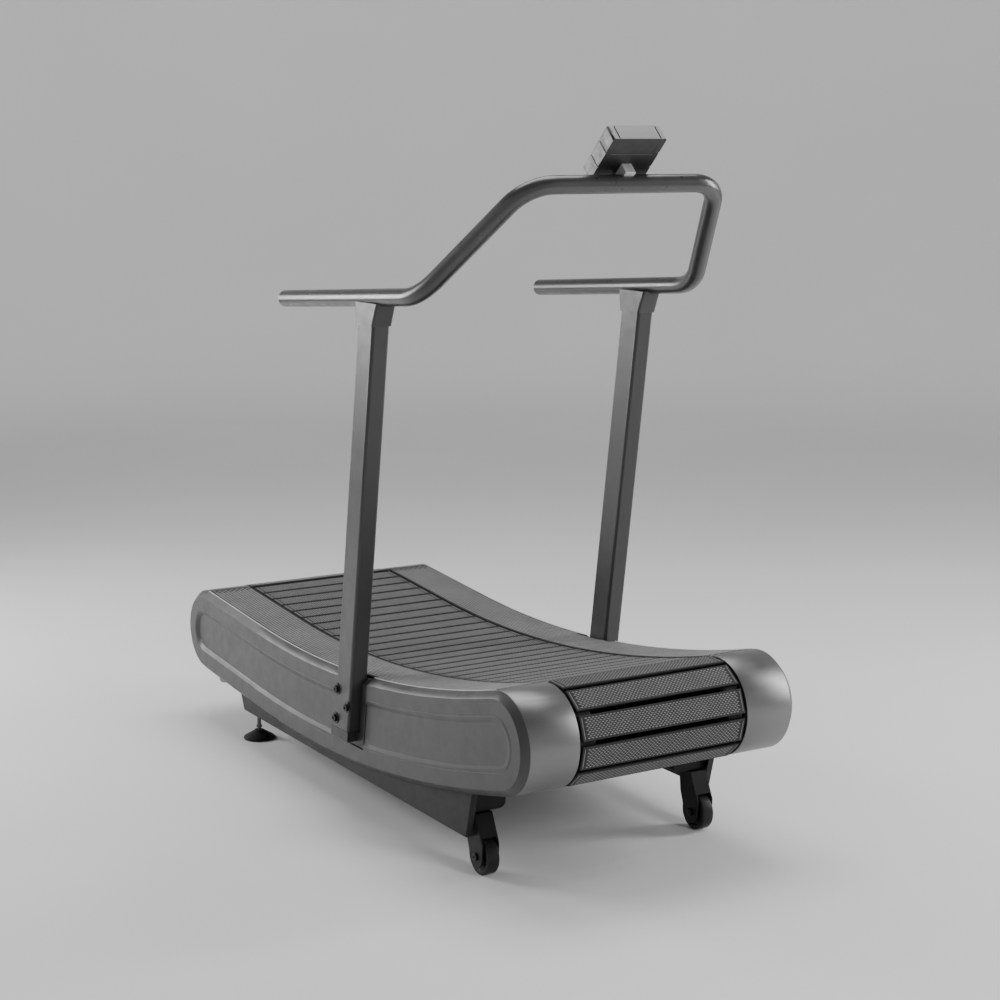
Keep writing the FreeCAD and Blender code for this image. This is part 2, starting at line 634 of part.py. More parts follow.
def make_post(side, letter):
    """Leaning rectangular tube with rounded corners and a foot plate welded to its outer face."""
    body = new_body("post_" + letter)
    outer = side_sketch(body, side, "Dims.post_inner")
    low, high = "Dims.post_low", "Dims.post_top"
    add_polygon(outer, leaning_strip(low, high, "0", "0"))
    pad(body, outer, "Dims.post_outer - Dims.post_inner", side)
    dress(body, "Fillet", "Dims.post_corner", lambda edge: edge.Length > 500)
    bore = side_sketch(body, side, "Dims.post_inner + Dims.post_wall")
    add_polygon(bore, leaning_strip(low + " - 20", high + " + 20", "-Dims.post_wall", "-Dims.post_wall"))
    pocket(body, bore, "Dims.post_outer - Dims.post_inner - 2 * Dims.post_wall", side)
    plate = side_sketch(body, side, "Dims.post_outer - 4")
    rear, inside = "-Dims.post_depth - Dims.foot_plate", "-Dims.post_depth + 12"
    add_polygon(plate, [(post_x(low, rear), low), (post_x(low, inside), low),
                        (post_x("340", inside), "340"), (post_x("328", rear), "328")])
    pad(body, plate, "4", side)
    drill_bolts(body, side)
    cable_hole = side_sketch(body, side, "Dims.post_inner - 1")
    add_circle(cable_hole, CABLE_X, CABLE_Z, "5")
    pocket(body, cable_hole, "8", side)


def make_post_bolts():
    """Six socket-head bolts and their washers, three on each post."""
    radius = number("Dims.bolt_radius")
    inner, outer = number("Dims.bracket_inner"), number("Dims.post_outer")
    washer_wall, head_height = 2, 6
    solids = []
    for side in (LEFT, RIGHT):
        away = Vector(0, side, 0)
        for x_text, z_text in BOLT_PLACES:
            x, z = number(x_text), number(z_text)
            washer = ring(x, z, *across(side, outer, outer + washer_wall), 14, radius + 0.3)
            seat = outer + washer_wall
            shank = rod(x, z, *across(side, inner + 1, seat), radius)
            head = rod(x, z, *across(side, seat, seat + head_height), 9)
            socket = prism(hexagon(8), 0, 6)
            socket.Placement = Placement(Vector(x, side * (seat + 3), z), Rotation(Vector(0, 0, 1), away))
            solids += [washer, shank.fuse(head).cut(socket).removeSplitter()]
    solid_node("post_bolts", solids)


def bar_points(side):
    """End, side bend and top bend of the handlebar's centre line on one side."""
    y = side * number("Dims.bar_y")
    return [Vector(number("Dims.bar_end_x"), y, number("Dims.bar_end_z")),
            Vector(number("Dims.bar_bend_x"), y, number("Dims.bar_bend_z")),
            Vector(number("Dims.bar_top_x"), side * number("Dims.bar_top_y"), number("Dims.bar_top_z"))]


def make_post_collar(side, letter):
    """Flared collar over the top of the post, with a cradle for the handlebar."""
    body = doc.addObject("PartDesign::Body", "collar_blank_" + letter)
    blank = side_sketch(body, side, "Dims.post_inner - Dims.collar_wall")
    wall, flare = "Dims.collar_wall", "Dims.collar_flare"
    low, high = "Dims.collar_low", "Dims.collar_high"
    add_polygon(blank, [(post_x(low, f"-Dims.post_depth - {wall}"), low), (post_x(low, wall), low),
                        (post_x(high, f"{wall} + {flare}"), high),
                        (post_x(high, f"-Dims.post_depth - {wall} - {flare}"), high)])
    pad(body, blank, "Dims.post_outer - Dims.post_inner + 2 * Dims.collar_wall", side)
    dress(body, "Fillet", "Dims.collar_corner", lambda edge: edge.BoundBox.ZLength > 20)
    socket = side_sketch(body, side, "Dims.post_inner")
    add_polygon(socket, leaning_strip(low + " - 10", "Dims.post_top", "0", "0"))
    pocket(body, socket, "Dims.post_outer - Dims.post_inner", side)
    end, bend, _ = bar_points(side)
    cradle = doc.addObject("Part::Cylinder", "cradle_" + letter)
    cradle.setExpression("Radius", "Dims.bar_radius + 0.05")
    cradle.Height = (bend - end).Length
    cradle.Placement = Placement(end, Rotation(Vector(0, 0, 1), bend - end))
    collar = doc.addObject("Part::Cut", "post_collar_" + letter)
    collar.Base = body
    collar.Tool = cradle
    collar.Label = "post_collar_" + letter
    nodes.append(collar)


def make_handlebar():
    """One bent tube: two side grips that slope up to a crossbar."""
    left, right = bar_points(LEFT), bar_points(RIGHT)
    low, high = number("Dims.bar_low_bend"), number("Dims.bar_top_bend")
    path = rounded_path(right + left[::-1], [low, high, high, low])
    tube = swept(path, number("Dims.bar_radius")).cut(swept(path, number("Dims.bar_bore")))
    solid_node("handlebar", [tube])


def make_handlebar_plugs():
    """Domed plugs in the open ends of the handlebar."""
    radius, bore = number("Dims.bar_radius"), number("Dims.bar_bore")
    dome_height, stem_length = 8, 16
    sphere_radius = (radius ** 2 + dome_height ** 2) / (2 * dome_height)
    plugs = []
    for side in (LEFT, RIGHT):
        end, bend, _ = bar_points(side)
        sphere = Part.makeSphere(sphere_radius, Vector(0, 0, dome_height - sphere_radius))
        dome = Part.makeCylinder(radius, dome_height).common(sphere)
        stem = Part.makeCylinder(bore, stem_length, Vector(0, 0, -stem_length))
        plug = dome.fuse(stem).removeSplitter()
        plug.Placement = Placement(end, Rotation(Vector(0, 0, 1), end - bend))
        plugs.append(plug)
    solid_node("handlebar_plugs", plugs)


# ---------------------------------------------------------------- belt and its bed

def make_belt_slats():
    """The slats: a flat plate with a stiffening rib underneath, and a rubber tread on top."""
    line = number("Dims.belt_line")
    wire = outline_wire(line)
    edges = wire.OrderedEdges
    half_width, half_belt = number("Dims.slat_width / 2"), number("Dims.belt_half")
    low, high = line - number("Dims.slat_plate_low"), line - number("Dims.slat_plate_high")
    plate = Part.makeBox(2 * half_width, 2 * half_belt, high - low, Vector(-half_width, -half_belt, low))
    rib_half, rib_reach = number("Dims.rib_half_width"), number("Dims.rib_half_length")
    rib_low = line - number("Dims.rib_low")
    rib = Part.makeBox(2 * rib_half, 2 * rib_reach, low - rib_low, Vector(-rib_half, -rib_reach, rib_low))
    slat = plate.fuse(rib).removeSplitter()
    top = line - number("Dims.tread_high")
    tread = Part.makeBox(2 * half_width, 2 * half_belt, top - high, Vector(-half_width, -half_belt, high))
    tread = tread.makeChamfer(0.8, [e for e in tread.Edges if e.BoundBox.ZMin > top - 0.01])
    count = int(number("Dims.slat_count"))
    places = stations(edges, count, 0, wire.Length, True)
    solid_node("belt_slats", [at_station(slat, place_) for place_ in places])
    solid_node("slat_treads", [at_station(tread, place_) for place_ in places])


def make_drive_belts():
    """Two endless flat belts that carry the slats."""
    outer = outline_wire(number("Dims.drive_belt_high"))
    inner = outline_wire(number("Dims.drive_belt_low"))
    width = number("Dims.drive_belt_outer - Dims.drive_belt_inner")
    belts = []
    for side in (LEFT, RIGHT):
        face = Part.Face(outer).cut(Part.Face(inner)).Faces[0]
        belt = face.extrude(Vector(0, width, 0))
        belt.translate(Vector(0, across(side, number("Dims.drive_belt_inner"),
                                        number("Dims.drive_belt_outer"))[0], 0))
        belts.append(belt)
    solid_node("drive_belts", belts)


def make_deck_rollers():
    """Rows of ball bearings on pins, which carry the top run of the belt along its curve."""
    radius = number("Dims.roller_radius")
    depth = number("Dims.drive_belt_low + Dims.roller_gap") + radius
    wire = outline_wire(depth)
    top_run = [e for e in wire.OrderedEdges if e.BoundBox.ZMin > 280 and e.BoundBox.XLength > 300]
    top_run.sort(key=lambda edge: edge.BoundBox.XMin)
    length = sum(edge.Length for edge in top_run)
    margin = number("Dims.roller_end_margin")
    spots = stations(top_run, int(number("Dims.roller_count")), margin, length - margin, False)
    middle, half = number("Dims.roller_y"), number("Dims.roller_half_width")
    rollers, pins = [], []
    for side in (LEFT, RIGHT):
        for point, _, _ in spots:
            span = across(side, middle - half, middle + half)
            rollers.append(ring(point.x, point.z, *span, radius, number("Dims.roller_bore")))
            reach = across(side, middle - half - 2, number("Dims.frame_inner"))
            pins.append(rod(point.x, point.z, *reach, number("Dims.pin_radius")))
    solid_node("deck_rollers", rollers)
    solid_node("roller_pins", pins)


# ---------------------------------------------------------------- axles

def axle_places():
    """Centres of the front and rear axles in the side view."""
    return ((number("Dims.nose_x"), number(NOSE_Z)), (number("Dims.tail_x"), number("Dims.tail_z")))


def make_bearings():
    """Four bearing housings on the outside of the side frames, each with its ball bearing."""
    housings, bearings = [], []
    for x, z in axle_places():
        for side in (LEFT, RIGHT):
            span = across(side, number("Dims.frame_outer"), number("Dims.housing_outer"))
            housings.append(ring(x, z, *span, number("Dims.housing_radius"), number("Dims.bearing_radius")))
            inner_span = across(side, number("Dims.bearing_inner"), number("Dims.bearing_outer"))
            bearings.append(ring(x, z, *inner_span, number("Dims.bearing_radius"),
                                 number("Dims.bearing_bore")))
    solid_node("bearing_housings", housings)
    solid_node("axle_bearings", bearings)


def make_tension_bolts():
    """Two bolts through the frame's rear lugs, which set the belt's tension."""
    bolts = []
    ahead = Vector(1, 0, 0)
    start = number("Dims.tail_x + Dims.housing_radius")
    length = number("Dims.lug_x + Dims.lug_thick - Dims.housing_radius") + 1
    for side in (LEFT, RIGHT):
        base = Vector(start, side * number("Dims.frame_outer + Dims.lug_bolt_y"), number("Dims.tail_z"))
        shank = Part.makeCylinder(number("Dims.bolt_radius"), length, base, ahead)
        head = prism(hexagon(16), 0, 7)
        head.Placement = Placement(base + ahead * length, Rotation(Vector(0, 0, 1), ahead))
        bolts.append(shank.fuse(head).removeSplitter())
    solid_node("tension_bolts", bolts)


def make_axle(label, x, z):
    """Stepped shaft: a thick middle that carries the pulleys and thinner journals."""
    body = new_body(label)
    profile = new_sketch(body, "XY")
    middle, seat, journal = "Dims.shaft_radius + 4", "Dims.shaft_radius", "Dims.journal_radius"
    steps = ((middle, "168"), (seat, "Dims.shaft_half"), (journal, "Dims.axle_half"))
    corners = [("0", "-Dims.axle_half")]
    for radius, reach in reversed(steps):
        corners.append((radius, f"-({reach})"))
        if radius != middle:
            following = steps[steps.index((radius, reach)) - 1][1]
            corners.append((radius, f"-({following})"))
    corners += [(radius, height[2:-1]) for radius, height in reversed(corners[1:])]
    corners.append(("0", "Dims.axle_half"))
    add_polygon(profile, corners)
    revolve(body, profile)
    place(body, x, "0", z)


def make_pulleys(label, x, z):
    """Two flanged pulleys with lightening holes, one under each drive belt."""
    body = new_body(label)
    profile = new_sketch(body, "XY")
    bore, hub, rim = "Dims.pulley_bore", "Dims.pulley_bore + 12", "Dims.pulley_radius - 14"
    face, flange = "Dims.pulley_radius", "Dims.pulley_flange"
    section = [(bore, "176"), (hub, "176"), (hub, "189"), (rim, "189"), (rim, "174.5"),
               (flange, "174.5"), (flange, "177.5"), (face, "177.5"), (face, "206.5"),
               (flange, "206.5"), (flange, "209.5"), (rim, "209.5"), (rim, "195"), (hub, "195"),
               (hub, "208"), (bore, "208")]
    add_polygon(profile, section)
    add_polygon(profile, [(radius, "-" + height) for radius, height in section])
    revolve(body, profile)
    hole = new_sketch(body, "XZ")
    add_circle(hole, "Dims.pulley_radius * 0.6", "0", "17")
    first_hole = pocket(body, hole)
    ring_of_holes = body.newObject("PartDesign::PolarPattern", label + "_pattern")
    ring_of_holes.Originals = [first_hole]
    ring_of_holes.Axis = (hole, ["N_Axis"])
    ring_of_holes.Angle = 360
    ring_of_holes.Occurrences = 6
    body.Tip = ring_of_holes
    doc.recompute()
    place(body, x, "0", z)


def make_speed_sensor():
    """Magnet ring on the front axle, the sensor beside it and the cable up the right post."""
    x, z = axle_places()[0]
    reach = number("Dims.housing_outer")
    solid_node("magnet_ring", [ring(x, z, *across(RIGHT, reach + 3, reach + 10), 22,
                                    number("Dims.journal_radius"))])
    sensor = Part.makeBox(16, 12, 18, Vector(x - 8, -reach - 12, z + 23))
    solid_node("speed_sensor", [sensor])
    post_middle = (number("Dims.post_inner") + number("Dims.post_outer")) / 2
    top_z = number("Dims.post_top") - 20
    entry = Vector(number(CABLE_X), -310, number(CABLE_Z))
    inside = Vector(entry.x, -post_middle, entry.z)
    top = Vector(number(post_x(top_z, "-Dims.post_depth / 2")), -post_middle, top_z)
    points = [Vector(x - 8, -reach - 6, z + 32), Vector(x - 30, -reach - 6, z + 32),
              Vector(x - 70, -reach - 20, z + 44), Vector(240, -310, 322), entry, inside, top]
    solid_node("sensor_cable", [swept(rounded_path(points, [12, 15, 15, 8, 10]), 2.5)])


# ---------------------------------------------------------------- wheels, feet, lift handle

def make_wheel_fork(side, letter):
    """Folded fork under the front of the base rail."""
    body = new_body("wheel_fork_" + letter)
    outer = side_sketch(body, side, "Dims.wheel_y - Dims.fork_half_width")
    low = "Dims.wheel_radius"
    rear, front = ("Dims.wheel_x - Dims.fork_end_radius", "Dims.wheel_x + Dims.fork_end_radius")
    add_polygon(outer, [(rear, low), (front, low), ("646", "74"), ("616", "Dims.base_low"),
                        ("572", "Dims.base_low"), ("577", "87")])
    pad(body, outer, "2 * Dims.fork_half_width", side)
    round_end = side_sketch(body, side, "Dims.wheel_y - Dims.fork_half_width")
    add_circle(round_end, "Dims.wheel_x", "Dims.wheel_radius", "Dims.fork_end_radius")
    pad(body, round_end, "2 * Dims.fork_half_width", side)
    inside = side_sketch(body, side, "Dims.wheel_y - Dims.fork_half_width + Dims.fork_wall")
    top = "Dims.base_low - Dims.fork_wall"
    add_polygon(inside, [("540", "0"), ("720", "0"), ("720", "88"), ("634.8", "88"),
                         ("613.6", top), ("540", top)])
    pocket(body, inside, "2 * (Dims.fork_half_width - Dims.fork_wall)", side)
    bore = side_sketch(body, side, "0")
    add_circle(bore, "Dims.wheel_x", "Dims.wheel_radius", "Dims.wheel_pin")
    pocket(body, bore)


def make_wheel_bolts():
    """Axle bolts of the transport wheels, each with a button head and a hexagon nut."""
    x, z = number("Dims.wheel_x"), number("Dims.wheel_radius")
    middle, half = number("Dims.wheel_y"), number("Dims.fork_half_width")
    solids = []
    for side in (LEFT, RIGHT):
        shank = rod(x, z, *across(side, middle - half - 8, middle + half), number("Dims.wheel_pin"))
        head = rod(x, z, *across(side, middle + half, middle + half + 5), 9)
        socket = prism(hexagon(6), 0, 4)
        socket.Placement = Placement(Vector(x, side * (middle + half + 1.5), z),
                                     Rotation(Vector(0, 0, 1), Vector(0, side, 0)))
        nut = prism(hexagon(16), 0, 7)
        nut.Placement = Placement(Vector(x, side * (middle - half), z),
                                  Rotation(Vector(0, 0, 1), Vector(0, -side, 0)))
        solids.append(shank.fuse([head, nut]).cut(socket).removeSplitter())
    solid_node("wheel_bolts", solids)


def make_wheel(side, letter):
    """Moulded transport wheel with rounded shoulders and dished sides."""
    body = new_body("transport_wheel_" + letter)
    profile = new_sketch(body, "XY")
    half, radius, bore = "Dims.wheel_half_width", "Dims.wheel_radius", "Dims.wheel_bore"
    upper = [(bore, half), ("13", half), ("15", f"{half} - 4"), ("30", f"{half} - 4"), ("32", half),
             (f"{radius} - 2.5", half), (radius, f"{half} - 2.5")]
    lower = [(r, f"-({y})") for r, y in reversed(upper)]
    add_polygon(profile, upper + lower)
    revolve(body, profile)
    place(body, "Dims.wheel_x", f"{side} * Dims.wheel_y", "Dims.wheel_radius")


def turned_about_z(profile_points, x, y, arcs=()):
    """A solid turned about the vertical through (x, y), less or plus spheres on that axis."""
    points = [Vector(radius, 0, height) for radius, height in profile_points]
    solid = Part.Face(Part.makePolygon(points + points[:1])).revolve(Vector(), Vector(0, 0, 1), 360)
    for radius, height, add in arcs:
        sphere = Part.makeSphere(radius, Vector(0, 0, height))
        solid = solid.fuse(sphere) if add else solid.cut(sphere)
    solid = solid.removeSplitter()
    solid.translate(Vector(x, y, 0))
    return solid


def make_foot(side, letter):
    """Levelling foot: a threaded stem that ends in a ball, and a pad that swivels on it."""
    x, y = number("Dims.foot_x"), side * number("Dims.foot_y")
    radius, ball_z = number("Dims.foot_radius"), number("Dims.ball_z")
    pad_profile = [(0, 0), (radius, 0), (radius, 4), (radius - 1.5, 6), (15, 21), (12, 24),
                   (6.6, 24), (5.6, 14.5), (4, 9), (0, 9)]
    socket = (number("Dims.socket_radius"), ball_z, False)
    solid_node("foot_pad_" + letter, [turned_about_z(pad_profile, x, y, [socket])])
    stem, neck = number("Dims.stem_radius"), 3.9
    stem_profile = [(0, ball_z), (neck, ball_z), (neck, 28), (7.5, 30), (7.5, 36), (stem, 37),
                    (stem, number("Dims.stem_top")), (0, number("Dims.stem_top"))]
    ball = (number("Dims.ball_radius"), ball_z, True)
    solid_node("foot_stem_" + letter, [turned_about_z(stem_profile, x, y, [ball])])


def make_foot_locknuts():
    """Nuts that lock the foot stems against the base rails."""
    height = 8
    nuts = []
    for side in (LEFT, RIGHT):
        nut = prism(hexagon(17), number("Dims.base_low") - height, height)
        bore = Part.makeCylinder(number("Dims.stem_bore"), 300)
        nut = nut.cut(bore)
        nut.translate(Vector(number("Dims.foot_x"), side * number("Dims.foot_y"), 0))
        nuts.append(nut)
    solid_node("foot_locknuts", nuts)


def make_lift_handle():
    """Bent tube welded across the rear of the base rails, for tipping the machine onto its wheels."""
    x, y, z = number("Dims.lift_x"), number("Dims.lift_y"), number("Dims.lift_z")
    rail_end, root_z = number("Dims.base_rear_x"), number("Dims.lift_root_z")
    trim = 30
    root_x = rail_end + trim / 2
    corners = [Vector(root_x, y, root_z), Vector(x, y, z), Vector(x, -y, z), Vector(root_x, -y, root_z)]
    bend = number("Dims.lift_bend")
    path = rounded_path(corners, [bend, bend])
    tube = swept(path, number("Dims.lift_radius")).cut(swept(path, number("Dims.lift_bore")))
    beyond = Part.makeBox(2 * trim, 2 * (y + trim), 2 * trim, Vector(rail_end, -y - trim, root_z - trim))
    solid_node("lift_handle", [tube.cut(beyond)])


# ---------------------------------------------------------------- console

def place_console_piece(item):
    """Tilt a piece from the console's own frame (X up the face, Z out of the display)."""
    tilt = Rotation(Vector(0, 1, 0), -number("Dims.console_tilt"))
    place(item, "Dims.console_x", "0", "Dims.console_z", tilt)


def add_console_outline(sketch, inset):
    """The console's rounded outline, made smaller by inset."""
    half_x, half_y = f"Dims.console_long / 2 - {inset}", f"Dims.console_wide / 2 - {inset}"
    add_rounded_rectangle(sketch, f"-({half_x})", half_x, f"-({half_y})", half_y,
                          f"Dims.console_corner - {inset}")


def cut_console_grooves(body):
    """Shallow grooves across the sides and the top edge of the housing."""
    grooves = new_sketch(body, "XY")
    width, depth = "Dims.groove_width", "Dims.groove_depth"
    side, top = "Dims.console_wide / 2", "Dims.console_long / 2"
    for x in (-22, 20):
        for low, high in ((f"{side} - {depth}", f"{side} + 5"), (f"-{side} - 5", f"{depth} - {side}")):
            add_rectangle(grooves, str(x), f"{x} + {width}", low, high)
    for y in (-53, 50):
        add_rectangle(grooves, f"{top} - {depth}", f"{top} + 5", str(y), f"{y} + {width}")
    pocket(body, grooves)


def add_console_cavity(sketch):
    """The hollow inside both halves of the housing."""
    half_x, half_y = "Dims.cavity_half_x", "Dims.cavity_half_y"
    add_rounded_rectangle(sketch, f"-{half_x}", half_x, f"-{half_y}", half_y, "Dims.cavity_corner")


def make_console_back():
    """Rear housing: a tray with an opening for the battery cover."""
    body = new_body("console_back")
    outer = new_sketch(body, "XY", "Dims.console_back")
    add_console_outline(outer, "0")
    pad(body, outer, "Dims.console_joint - Dims.console_back")
    cut_console_grooves(body)
    inner = new_sketch(body, "XY", "Dims.console_back + Dims.console_wall")
    add_console_cavity(inner)
    pocket(body, inner, "60", RIGHT)
    opening = new_sketch(body, "XY", "Dims.console_back - 1")
    add_rectangle(opening, "Dims.cover_low", "Dims.console_long / 2 + 5", "-Dims.cover_half", "Dims.cover_half")
    pocket(body, opening, "Dims.console_wall + 1.3", RIGHT)
    place_console_piece(body)


def make_console_front():
    """Front housing with the display window and three button holes."""
    body = new_body("console_front")
    outer = new_sketch(body, "XY", "Dims.console_joint")
    add_console_outline(outer, "0")
    pad(body, outer, "Dims.console_face - Dims.console_joint")
    cut_console_grooves(body)
    inner = new_sketch(body, "XY", "Dims.console_joint - 1")
    add_console_cavity(inner)
    pocket(body, inner, "Dims.console_face - Dims.console_joint - Dims.console_wall + 1", RIGHT)
    openings = new_sketch(body, "XY")
    add_rectangle(openings, "Dims.window_low", "Dims.window_high", "-Dims.window_half", "Dims.window_half")
    for index in (-1, 0, 1):
        add_circle(openings, "Dims.button_x", f"{index} * Dims.button_pitch",
                   "Dims.button_radius + Dims.button_gap")
    pocket(body, openings)
    place_console_piece(body)


def make_display_lens():
    """Clear window over the display."""
    body = new_body("display_lens")
    outline = new_sketch(body, "XY", "Dims.console_face - Dims.console_wall")
    gap = "Dims.lens_gap"
    add_rectangle(outline, f"Dims.window_low + {gap}", f"Dims.window_high - {gap}",
                  f"-Dims.window_half + {gap}", f"Dims.window_half - {gap}")
    pad(body, outline, "2")
    place_console_piece(body)


def make_circuit_board():
    """Circuit board with the display module on it."""
    body = new_body("circuit_board")
    board = new_sketch(body, "XY", "Dims.console_joint + 1")
    half_x, half_y = "Dims.board_half_x", "Dims.board_half_y"
    add_rectangle(board, f"-{half_x}", half_x, f"-{half_y}", half_y)
    pad(body, board, "Dims.board_thick")
    module = new_sketch(body, "XY", "Dims.console_joint + 2")
    add_rectangle(module, "Dims.window_low + 2", "Dims.window_high - 2",
                  "3 - Dims.window_half", "Dims.window_half - 3")
    pad(body, module, "Dims.module_high")
    place_console_piece(body)


def make_buttons():
    """Three push buttons, each with a flange behind the housing."""
    for index, name in ((-1, "button_right"), (0, "button_middle"), (1, "button_left")):
        body = new_body(name)
        middle = f"{index} * Dims.button_pitch"
        cap = new_sketch(body, "XY", "Dims.console_face - Dims.button_depth")
        add_circle(cap, "Dims.button_x", middle, "Dims.button_radius")
        pad(body, cap, "Dims.button_depth + Dims.button_rise")
        dress(body, "Fillet", "0.8", lambda edge: edge.BoundBox.ZMin > number("Dims.console_face"))
        flange = new_sketch(body, "XY", "Dims.console_face - Dims.button_depth")
        add_circle(flange, "Dims.button_x", middle, "Dims.button_radius + Dims.button_flange")
        pad(body, flange, "Dims.button_depth - 3")
        place_console_piece(body)


def make_battery_parts():
    """Sliding battery cover and the cells behind it."""
    body = new_body("battery_cover")
    outline = new_sketch(body, "XY", "Dims.console_back")
    gap = "Dims.cover_gap"
    add_rectangle(outline, f"Dims.cover_low + {gap}", "Dims.console_long / 2",
                  f"-Dims.cover_half + {gap}", f"Dims.cover_half - {gap}")
    pad(body, outline, "Dims.console_wall")
    place_console_piece(body)
    radius, length, z = 7, 50, -5.6
    cells = [Part.makeCylinder(radius, length, Vector(x, -length / 2, z), Vector(0, 1, 0))
             for x in (26, 43)]
    place_console_piece(solid_node("batteries", cells))


def make_console_bracket():
    """Saddle block between the crossbar and the back of the console."""
    length, half, depth, low = 38, 12.5, 26, -48
    back = number("Dims.console_back")
    block = Part.makeBox(length, 2 * half, depth, Vector(low, -half, back - depth))
    tilt = Rotation(Vector(0, 1, 0), -number("Dims.console_tilt"))
    block.Placement = Placement(Vector(number("Dims.console_x"), 0, number("Dims.console_z")), tilt)
    bar = rod(number("Dims.bar_top_x"), number("Dims.bar_top_z"), -50, 50, number("Dims.bar_radius"))
    solid_node("console_bracket", [block.cut(bar)])


# ---------------------------------------------------------------- build, check, write

def build_all():
    for side, letter in SIDES:
        make_side_frame(side, letter)
        make_base_rail(side, letter)
        make_skirt(side, letter)
        make_side_casing(side, letter)
        make_foot_rail(side, letter)
        make_end_cap("nose_cap", side, letter, "Dims.nose_split_x + Dims.cap_gap", "1000")
        make_end_cap("tail_cap", side, letter, "-1000", "Dims.tail_split_x - Dims.cap_gap")
        make_post_bracket(side, letter)
        make_post(side, letter)
        make_post_collar(side, letter)
        make_wheel_fork(side, letter)
        make_wheel(side, letter)
        make_foot(side, letter)
    make_cross_members()
    make_post_bolts()
    make_handlebar()
    make_handlebar_plugs()
    make_belt_slats()
    make_drive_belts()
    make_deck_rollers()
    make_bearings()
    make_tension_bolts()
    make_axle("front_axle", "Dims.nose_x", NOSE_Z)
    make_pulleys("front_pulleys", "Dims.nose_x", NOSE_Z)
    make_axle("rear_axle", "Dims.tail_x", "Dims.tail_z")
    make_pulleys("rear_pulleys", "Dims.tail_x", "Dims.tail_z")
    make_speed_sensor()
    make_wheel_bolts()
    make_foot_locknuts()
    make_lift_handle()
    make_console_back()
    make_console_front()
    make_display_lens()
    make_circuit_board()
    make_buttons()
    make_battery_parts()
    make_console_bracket()


def check_all():
    """Stop if any object failed or any node isn't a valid shape."""
    doc.recompute()
    for item in doc.Objects:
        if "Invalid" in item.State or "Error" in item.State:
            raise RuntimeError(f"{item.Label} failed: {item.State}")
    for node in nodes:
        if node.Shape.isNull() or not node.Shape.isValid() or not node.Shape.Solids:
            raise RuntimeError(f"{node.Label} has no valid solid")


def write_all():
    os.makedirs("parts", exist_ok=True)
    for node in nodes:
        node.Shape.exportStep(f"parts/{node.Label}.step")


fill_sheet()
build_all()
check_all()
write_all()
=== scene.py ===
"""Looks for the curved manual treadmill: finishes, fine surface relief, floor, light and camera.

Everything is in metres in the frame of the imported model: +X forward, +Y left, +Z up.
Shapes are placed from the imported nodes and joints, so they follow the CAD."""
import json
import math

import bpy
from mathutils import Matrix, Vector
from mathutils.bvhtree import BVHTree


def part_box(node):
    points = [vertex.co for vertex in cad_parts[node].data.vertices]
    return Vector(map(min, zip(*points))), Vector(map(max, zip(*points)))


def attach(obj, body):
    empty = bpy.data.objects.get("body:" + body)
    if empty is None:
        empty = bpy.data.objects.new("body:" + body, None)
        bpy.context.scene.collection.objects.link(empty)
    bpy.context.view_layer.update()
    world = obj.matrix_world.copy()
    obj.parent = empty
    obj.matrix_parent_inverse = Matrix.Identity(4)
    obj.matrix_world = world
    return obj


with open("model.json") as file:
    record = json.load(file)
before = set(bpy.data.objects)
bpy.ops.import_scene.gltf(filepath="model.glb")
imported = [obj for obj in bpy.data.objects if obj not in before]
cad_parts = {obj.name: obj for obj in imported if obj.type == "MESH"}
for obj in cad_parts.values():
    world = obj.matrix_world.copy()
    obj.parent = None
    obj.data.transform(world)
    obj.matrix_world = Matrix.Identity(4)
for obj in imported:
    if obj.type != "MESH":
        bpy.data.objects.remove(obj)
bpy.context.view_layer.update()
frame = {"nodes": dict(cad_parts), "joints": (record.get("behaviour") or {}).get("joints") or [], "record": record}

MM = 0.001
LEFT, RIGHT = 1, -1
SIDES = ((LEFT, "l"), (RIGHT, "r"))
JOINTS = {joint["name"]: joint for joint in frame["joints"]}
UP = Vector((0, 0, 1))
ACROSS = Vector((0, 1, 0))
# The console's own directions: its battery door slides up it, and its buttons go into it.
FACE_UP = Vector(JOINTS["battery_door_slide"]["axis"]).normalized()
FACE_IN = Vector(JOINTS["button_left_press"]["axis"]).normalized()


# ---------------------------------------------------------------- procedural finishes

def tone(value, warmth=0.0):
    """A nearly neutral colour. Warmth lowers the blue and lifts the red a little."""
    return (value * (1 + warmth), value, value * (1 - warmth), 1.0)


PAINT_DUST = tone(0.32, 0.03)
PLASTIC_DUST = tone(0.3, 0.03)
RUBBER_WARMTH = 0.012
SCUFF_WARMTH = 0.015


